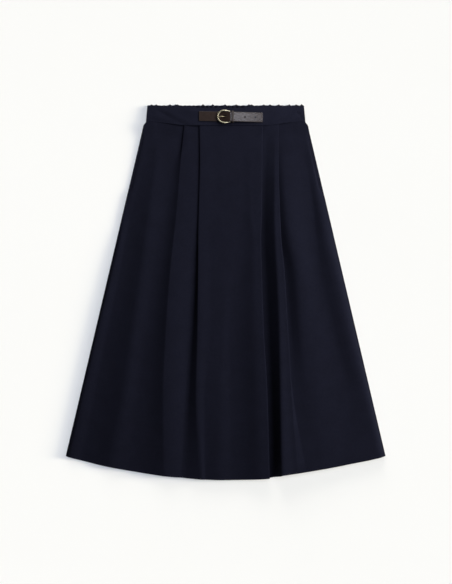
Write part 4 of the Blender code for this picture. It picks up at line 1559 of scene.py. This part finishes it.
def pin(name: str, x: float, y: float, radius: float, length: float) -> Piece:
    """An upright pin, its cut a circle drawn out along x where length passes its width.

    Args:
        name: object name.
        x: place along the belt.
        y: place across it.
        radius: half its width.
        length: its whole length along x.

    Returns:
        The closed pin, tall enough to pass through all the leather.
    """
    sides, height = 28, 40 * MM
    turn = (np.arange(sides) + 0.5) * 2 * math.pi / sides
    stretch = max(length / 2 - radius, 0.0) * np.sign(np.cos(turn))
    outline = x + radius * np.cos(turn) + stretch, y + radius * np.sin(turn)
    rings = np.stack([grid(*outline, level) for level in (0.0, height)])
    return swept_skin(name, rings, np.zeros(rings.shape[:2] + (2,)))


@dataclass
class BeltStrap:
    """The strap: square cut ends, punched holes, a tooled line along its edges, sewn-down ends."""

    layout: BeltLayout
    stations: int = 150
    end_inset: float = 2.2 * MM
    end_stitches: int = 7
    stitch_pitch: float = 2.6 * MM
    stitch_length: float = 1.9 * MM
    thread_radius: float = 0.28 * MM
    thread_lift: float = 0.05 * MM

    def sew_end(self, side: Side, thread: Material) -> Piece:
        """Sews a row of stitches across one end.

        Args:
            side: which end.
            thread: the stitches' material.

        Returns:
            The dressed row.
        """
        layout, count = self.layout, self.end_stitches
        place = (layout.left if side is Side.LEFT else layout.right) - side.value * self.end_inset
        top = layout.strap_height(place) + layout.thickness / 2 + self.thread_lift
        across = (np.arange(count) - count // 2) * self.stitch_pitch
        row = stitches(f"strap_stitch_{side.name.lower()}", grid(place, layout.line_y(place) + across, top),
                       np.tile((0.0, 1.0, 0.0), (count, 1)), np.tile(UP, (count, 1)),
                       self.stitch_length, self.thread_radius)
        dress(row, thread, "leather")
        return row

    def build(self, leather: Material, thread: Material) -> list[Piece]:
        """Makes the strap along its route, punches it and sews down its two ends.

        Args:
            leather: the strap's material.
            thread: the stitches' material.

        Returns:
            The strap and its two rows of stitches.
        """
        layout = self.layout
        x = np.linspace(layout.left, layout.right, self.stations)
        cut = LeatherCut(layout, layout.width, layout.thickness)
        strap = cut.carry("strap", grid(x, layout.strap_height(x)))
        shapes = [(f"hole_{number}", layout.hole_x(number), layout.hole_radius, 0.0)
                  for number in range(layout.open_holes)]
        shapes.append(("prong_hole", layout.hole_x(layout.prong_hole), layout.slot_width / 2,
                       layout.slot_length))
        cut_through(strap, [pin(name, place, layout.line_y(place), radius, length)
                            for name, place, radius, length in shapes])
        dress(strap, leather, "leather", "belt_strap")
        return [strap] + [self.sew_end(side, thread) for side in Side]


@dataclass
class BeltTab:
    """Leather folded round the bar, its two ends to the right, slotted for the prong."""

    layout: BeltLayout
    settle: float = 13.0 * MM
    slot_x: float = 8.0 * MM
    slot_width: float = 5.2 * MM
    slot_length: float = 14.0 * MM
    clear_of_bar: float = 1.0 * MM

    def build(self, leather: Material) -> Piece:
        """Lower end, a half turn round the bar, then down on to itself by an eased drop.

        Args:
            leather: its material.

        Returns:
            The dressed tab.
        """
        layout = self.layout
        turn_radius = layout.bar_radius + layout.gap + layout.tab_thickness / 2
        turns = np.linspace(-math.pi / 2, -3 * math.pi / 2, 25)
        loop = grid(layout.bar_x + turn_radius * np.cos(turns),
                    layout.bar_z() + turn_radius * np.sin(turns))
        x_low = np.linspace(layout.tab_lower_end, layout.bar_x + self.clear_of_bar, 24)
        lower = grid(x_low, layout.tab_lower_z())
        reach = np.linspace(self.clear_of_bar, layout.tab_upper_end - layout.bar_x, 26)
        height = between(layout.bar_z() + turn_radius, layout.tab_upper_z(), ease(reach / self.settle))
        upper = grid(layout.bar_x + reach, height)
        cut = LeatherCut(layout, layout.tab_width, layout.tab_thickness)
        tab = cut.carry("tab", np.concatenate([lower, loop, upper]))
        slot = pin("tab_slot", self.slot_x, layout.line_y(layout.bar_x), self.slot_width / 2,
                   self.slot_length)
        cut_through(tab, [slot])
        dress(tab, leather, "leather", "belt_tab")
        return tab


@dataclass
class BeltKeeper:
    """The leather loop over the strap, both ends sewn down to the band."""

    layout: BeltLayout
    crown: float = 0.25 * MM
    crown_turn: float = 1.5

    def build(self, leather: Material) -> Piece:
        """Feet on the band, uprights beside the strap, and a flat top with rounded corners.

        Args:
            leather: its material.

        Returns:
            The dressed keeper.
        """
        layout = self.layout
        half = layout.keeper_thickness / 2
        clear = layout.gap + layout.keeper_ease + half
        top = layout.strap_height(layout.keeper_x) + layout.thickness / 2 + clear
        reach = layout.width / 2 + clear
        foot = layout.band_face + layout.gap + half
        corner, bend = layout.keeper_corner, 2 * layout.keeper_ease
        feet = grid(np.linspace(reach + layout.keeper_foot, reach + bend, 6), foot)
        turn = np.linspace(-math.pi / 2, 0.0, 8)
        rise = grid(reach + bend * (1 - np.cos(turn)), foot + bend * (1 + np.sin(turn)))
        turn = np.linspace(0.0, math.pi / 2, 10)
        over = grid(reach - corner * (1 - np.cos(turn)), top - corner * (1 - np.sin(turn)))
        side = np.concatenate([feet, rise, over])
        y = np.linspace(reach - corner, corner - reach, 26)[1:-1]
        flat_top = grid(y, top + self.crown * np.cos(self.crown_turn * y / reach))
        path = np.concatenate([side, flat_top, side[::-1] * (-1.0, 1.0)])
        cut = LeatherCut(layout, layout.keeper_width, layout.keeper_thickness)
        keeper = cut.carry("keeper", path[::-1], sideways=True)
        dress(keeper, leather, "leather", "belt_keeper")
        return keeper


def tube_rings(path: Array, radii: Array, closed: bool) -> Array:
    """Rings square to a path: point + radius x (side cos turn + other sin turn).

    Args:
        path: points of the middle line.
        radii: radius for each point and place round.
        closed: whether the path closes on itself, as one that lies flat does.

    Returns:
        Rings of points.
    """
    if closed:
        along, square = np.roll(path, -1, axis=0) - np.roll(path, 1, axis=0), UP
    else:
        along, square = np.gradient(path, axis=0), (0.0, 1.0, 0.0)
    along = unit(along)
    side = unit(np.cross(along, square))
    ring = spokes(side, np.cross(side, along), full_turn(radii.shape[1]))
    return path[:, None] + ring * radii[..., None]


@dataclass
class Buckle:
    """The horseshoe frame, its rim twisted like a rope, its bar plain, and the prong."""

    layout: BeltLayout
    stations: int = 420
    around: int = 24
    strands: int = 3
    lay: float = 10.5 * MM
    groove: float = 0.2
    rope_from: float = 2.0 * MM
    rope_ease: float = 5.0 * MM
    prong_around: int = 16
    prong_steps: int = 60
    swelling: float = 0.15
    tapering: float = 0.2
    round_end: float = 0.035
    blunt: float = 0.04

    def frame_line(self) -> tuple[Array, Array]:
        """The frame's middle line and radius, evenly spaced.

        Half an oval for the rim, two arms that draw in by share^2 and taper, two corners of a
        quarter turn, and the bar. The line leans from the rim's height to the bar's by an ease
        along x.

        Returns:
            Points and radii.
        """
        layout = self.layout
        half = layout.frame_height / 2
        reach = half * layout.frame_roundness
        centre_x = layout.frame_left + layout.frame_radius + reach
        corner = layout.frame_corner
        corner_x = layout.bar_x - corner
        end_y = layout.frame_draw_in - half
        angle = np.radians(np.arange(90, 271, 3))
        rim = grid(centre_x + reach * np.cos(angle), half * np.sin(angle), layout.frame_radius)
        share = np.linspace(0.0, 1.0, 14)[1:-1]
        arm = grid(between(centre_x, corner_x, share), layout.frame_draw_in * share**2 - half,
                   between(layout.frame_radius, layout.frame_end_radius, share))
        turn = np.linspace(0.0, math.pi / 2, 8)
        low = grid(corner_x + corner * np.sin(turn), end_y + corner * (1 - np.cos(turn)),
                   np.linspace(layout.frame_end_radius, layout.bar_radius, 8))
        bar_y = np.linspace(end_y + corner, -end_y - corner, 14)[1:-1]
        bar = grid(layout.bar_x, bar_y, layout.bar_radius)
        flip = (1.0, -1.0, 1.0)
        line = np.concatenate([rim, arm, low, bar, low[::-1] * flip, arm[::-1] * flip])
        loop = np.concatenate([line, line[:1]])
        length = length_along(loop[:, :2], 0)
        even = np.linspace(0.0, length[-1], self.stations + 1)[:-1]
        x, y, radius = (np.interp(even, length, loop[:, i]) for i in range(3))
        lean = ease((layout.bar_x - x) / (layout.bar_x - layout.frame_arm_level))
        z = between(layout.bar_z(), layout.rim_z(), lean)
        return grid(x, layout.line_y(layout.bar_x) + y, z), radius

    def build_frame(self, brass: Material) -> Piece:
        """Rope rim: radius x (1 - groove x (1 - root of |cos(strands / 2 x (turn - twist))|)).

        Args:
            brass: its material.

        Returns:
            The dressed frame, twisted once round in each length of lay.
        """
        path, radius = self.frame_line()
        length = length_along(np.concatenate([path, path[:1]]), 0)[:-1]
        turn = full_turn(self.around)
        twist = 2 * math.pi * length / self.lay
        rope = np.abs(np.cos(self.strands / 2 * (turn[None] - twist[:, None])))
        hollow = ease((self.rope_from - path[:, :1]) / self.rope_ease) * (1 - np.sqrt(rope))
        rings = tube_rings(path, radius[:, None] * (1 - self.groove * hollow), True)
        uv = grid(length[:, None], turn[None] * radius.mean())
        piece = swept_skin("buckle", rings, uv, closed=True, edge=1 - hollow, sharp_degrees=70)
        dress(piece, brass, "brass", "buckle_frame")
        return piece

    def prong_line(self) -> tuple[Array, Array]:
        """The prong's middle line: a hook round the bar, then up through its hole to the rim.

        The hook turns from 60 degrees below the bar's right to 110 degrees above it. The knots
        after it lie below the strap, in its hole, above it, and on the rim to the tip.

        Returns:
            Points (x, z), and the share of the rod's length at each, 0 all along the hook.
        """
        layout = self.layout
        turn_radius = layout.bar_radius + layout.gap + layout.hook_radius
        turns = np.radians(np.linspace(-60, 110, 16))
        hook = grid(layout.bar_x + turn_radius * np.cos(turns),
                    layout.bar_z() + turn_radius * np.sin(turns))
        hole_x = layout.hole_x(layout.prong_hole)
        hole_z = layout.strap_height(hole_x)
        rim_x = layout.frame_left + layout.frame_radius
        rest_z = layout.rim_z() + layout.frame_radius + layout.gap + layout.prong_radius
        knots = np.array([
            tuple(hook[-1]),
            (layout.bar_x - 3.2 * MM, layout.bar_z() + 0.6 * MM),
            (hole_x + 2.6 * MM, hole_z - 1.6 * MM),
            (hole_x, hole_z),
            (hole_x - 2.4 * MM, hole_z + 2.0 * MM),
            (rim_x + 2.0 * MM, rest_z),
            (rim_x - 1.0 * MM, rest_z),
            (rim_x - 2.6 * MM, rest_z - 0.5 * MM),
        ])
        length = length_along(knots, 0)
        even = np.linspace(0.0, length[-1], self.prong_steps)[1:]
        rod = grid(track(length, knots[:, 0], even), track(length, knots[:, 1], even))
        share = np.concatenate([np.zeros(len(hook)), even / length[-1]])
        return np.concatenate([hook, rod]), share

    def build_prong(self, brass: Material) -> Piece:
        """A rod that swells out of its hook, tapers to its tip and ends round.

        The end is drawn in by the root of 1 - past^2, or of the blunt share where that is less.

        Args:
            brass: its material.

        Returns:
            The dressed prong.
        """
        layout = self.layout
        line, share = self.prong_line()
        thick = between(layout.hook_radius, layout.prong_radius, ease(share / self.swelling))
        to_tip = ease((share - 1 + self.tapering) / self.tapering)
        thick = thick - (layout.prong_radius - layout.tip_radius) * to_tip
        past = np.clip((share - 1 + self.round_end) / self.round_end, 0.0, 1.0)
        thick = thick * np.sqrt(np.maximum(1 - past**2, self.blunt))
        radii = np.repeat(thick[:, None], self.prong_around, axis=1)
        path = grid(line[:, 0], layout.line_y(layout.bar_x), line[:, 1])
        rings = tube_rings(path, radii, False)
        uv = grid(length_along(path, 0)[:, None], np.zeros(self.prong_around))
        piece = swept_skin("prong", rings, uv, edge=np.ones(radii.shape), sharp_degrees=70)
        dress(piece, brass, "brass", "buckle_prong")
        return piece


# ---------------------------------------------------------------- sewing on the cloth
@dataclass
class PocketSeam:
    """Tonal edge stitching along the pocket opening of one side."""

    panel: FrontPanel
    side: Side
    inset: float = 4.0 * MM
    pitch: float = 2.8 * MM
    stitch_length: float = 2.0 * MM
    thread_radius: float = 0.22 * MM
    thread_lift: float = 0.04 * MM

    def build(self, thread: Material) -> Piece:
        """Lays the stitches on the front's upper face, an even inset in from its folded edge.

        Args:
            thread: its material.

        Returns:
            The dressed row.
        """
        block = self.panel.block
        surface = self.panel.surface()
        if self.side is Side.RIGHT:
            surface = tuple(values[:, ::-1] for values in surface)
        middle, normal, flat, thickness = surface
        width = np.abs(flat[..., 0] - flat[:, :1, 0])
        row, column = np.arange(len(middle)), (width < self.inset).sum(axis=1)
        inner, outer = width[row, column], width[row, column - 1]
        share = ((self.inset - outer) / (inner - outer))[:, None]
        out = unit(between(normal[row, column - 1], normal[row, column], share))
        line = between(middle[row, column - 1], middle[row, column], share)
        line = line + out * thickness[row, column][:, None] / 2
        down = block.seam_y - line[:, 1]
        places = np.arange(block.pocket_top, block.pocket_bottom, self.pitch)
        spots, up = (grid(*(np.interp(places, down, values[:, i]) for i in range(3)))
                     for values in (line, out))
        up, along = unit(up), unit(np.gradient(spots, axis=0))
        sewn = stitches(f"pocket_stitch_{self.side.name.lower()}", spots + up * self.thread_lift,
                        along, up, self.stitch_length, self.thread_radius)
        dress(sewn, thread, "cloth")
        return sewn


# ---------------------------------------------------------------- studio
class Lit(Enum):
    """What a light shines on, by the name of the collection."""

    GARMENT = "lit_garment"
    BELT = "lit_belt"
    FLOOR = "lit_floor"


@dataclass(frozen=True)
class AreaLamp:
    """A square area light: its place, side, power, colour, and the point that it looks at."""

    name: str
    at: Triple
    size: float
    power: float
    colour: Triple = (1.0, 1.0, 1.0)
    target: Triple = (0.0, 0.0, 0.0)
    lights: Lit = Lit.GARMENT


@dataclass(frozen=True)
class FloorSun:
    """Light on the floor: its rise, way round from +X and spread in degrees, strength, colour."""

    rise: float
    round_from_x: float
    spread: float
    strength: float
    colour: Triple

    def way(self) -> Array:
        """Unit vector towards the sun."""
        rise, turn = math.radians(self.rise), math.radians(self.round_from_x)
        return np.array((math.cos(turn) * math.cos(rise), math.sin(turn) * math.cos(rise),
                         math.sin(rise)))


@dataclass
class Studio:
    """Pale floor, three soft lights on the skirt, a sheen on the belt, and suns on the floor."""

    lens: float = 85.0
    camera_at: Triple = (0.0007, 0.0008, 2.9037)
    floor_half: float = 3.0
    floor_thickness: float = 2.0 * MM
    floor_under: float = 0.05 * MM
    ambient: float = 0.047
    lamps: tuple[AreaLamp, ...] = (
        AreaLamp("key", (1.4, 1.2, 1.35), 1.7, 40.0),
        AreaLamp("side", (1.5, 0.0, 1.0), 1.5, 12.0),
        AreaLamp("head", (0.3, 1.9, 0.8), 1.3, 10.4),
        AreaLamp("belt_sheen", (0.66, 0.74, 2.75), 0.3, 4.5, (0.93, 0.95, 1.08),
                 (0.02, 0.37, 0.01), Lit.BELT),
    )
    suns: tuple[FloorSun, ...] = (
        FloorSun(84, 45, 45, 1.93, (0.837, 0.896, 1.0)),
        FloorSun(22, 5, 26, 1.3, (1.0, 0.95, 0.84)),
        FloorSun(11, 2, 12, 4.2, (1.0, 0.9, 0.66)),
        FloorSun(18, 98, 30, 1.2, (1.0, 0.95, 0.86)),
    )

    def place(
        self, light: bpy.types.Light, at: Array, target: Triple,
        group: bpy.types.Collection,
    ) -> None:
        """Places a light at a point, its -Z towards a target.

        Args:
            light: the light's data.
            at: where it stands.
            target: what it looks at.
            group: the pieces that it shines on.
        """
        lamp = bpy.data.objects.new(light.name, light)
        way = unit(np.subtract(target, at))
        lamp.location = at
        lamp.rotation_euler = (math.acos(-way[2]), 0.0, math.atan2(-way[0], way[1]))
        bpy.context.scene.collection.objects.link(lamp)
        lamp.light_linking.receiver_collection = group

    def build_floor(self, material: Material) -> Piece:
        """A plain square floor just under the skirt.

        Args:
            material: its material.

        Returns:
            The floor.
        """
        side = np.linspace(-self.floor_half, self.floor_half, 9)
        middle_z = -self.floor_under - self.floor_thickness / 2
        middle = grid(side[:, None], side[None], middle_z)
        floor = cloth_shell("floor", middle, UP, self.floor_thickness, middle[..., :2])
        floor.data.materials.append(material)
        return floor

    def build_lights(self, groups: dict[Lit, list[Piece]]) -> None:
        """The lights, each one shining on its own pieces.

        Args:
            groups: the pieces of each group that a light can shine on.
        """
        collections = {}
        for lit, members in groups.items():
            collections[lit] = bpy.data.collections.new(lit.value)
            for member in members:
                collections[lit].objects.link(member)
        for lamp in self.lamps:
            area = bpy.data.lights.new(lamp.name, "AREA")
            area.size, area.energy, area.color = lamp.size, lamp.power, lamp.colour
            self.place(area, lamp.at, lamp.target, collections[lamp.lights])
        for number, sun in enumerate(self.suns):
            light = bpy.data.lights.new(f"floor_sun_{number}", "SUN")
            light.energy, light.angle, light.color = sun.strength, math.radians(sun.spread), sun.colour
            self.place(light, 3 * sun.way(), (0.0, 0.0, 0.0), collections[Lit.FLOOR])

    def build_world(self) -> None:
        """A faint even light from all round."""
        world = bpy.data.worlds.new("studio")
        world.use_nodes = True
        sky = world.node_tree.nodes["Background"]
        sky.inputs[0].default_value = (1.0, 1.0, 1.0, 1.0)
        sky.inputs[1].default_value = self.ambient
        bpy.context.scene.world = world
        bpy.context.scene.view_settings.view_transform = "Standard"

    def build_camera(self) -> None:
        """Straight above the skirt, looking down, its upper edge towards +Y."""
        camera = bpy.data.cameras.new("camera")
        camera.lens = self.lens
        camera.sensor_width = 36.0
        stand = bpy.data.objects.new("camera", camera)
        stand.location = self.camera_at
        bpy.context.scene.collection.objects.link(stand)
        bpy.context.scene.camera = stand


# ---------------------------------------------------------------- the whole
def main() -> None:
    """Builds the skirt piece by piece and sets the studio round it."""
    logging.basicConfig(level=logging.INFO, format="%(name)s: %(message)s")
    shelf = EffectShelf()
    block = SkirtBlock()
    layout = BeltLayout()
    navy, inside = NAVY.make(shelf), NAVY_INSIDE.make(shelf)
    thread, leather = NAVY_THREAD.make(shelf), BROWN.make(shelf)
    belt_thread, brass = BROWN_THREAD.make(shelf), BRASS.make(shelf)

    studio = Studio()
    studio.build_camera()
    front_panel = FrontPanel(block)
    front = front_panel.build(navy)
    back = BackPanel(block).build(navy)
    facings = [PocketFacing(block, side).build(inside) for side in Side]
    # The front band takes the lighter copy of the twill, which is painted light.
    front_band = FrontBand(block).build(NAVY_BAND_LIT.make(shelf))
    back_band = BackBand(block).build(inside)
    seams = [PocketSeam(front_panel, side).build(thread) for side in Side]
    buckle = Buckle(layout)
    belt = BeltStrap(layout).build(leather, belt_thread)
    belt += [BeltTab(layout).build(leather), BeltKeeper(layout).build(leather)]
    # The prong takes the darker copy of the gold, which is painted shade.
    belt += [buckle.build_frame(brass), buckle.build_prong(SHADED_BRASS.make(shelf))]

    floor = studio.build_floor(FLOOR.make(shelf))
    garment = [front, back, *facings, front_band, back_band, *seams, *belt]
    studio.build_lights({Lit.GARMENT: garment, Lit.BELT: belt, Lit.FLOOR: [floor]})
    studio.build_world()


if __name__ == "__main__":
    main()
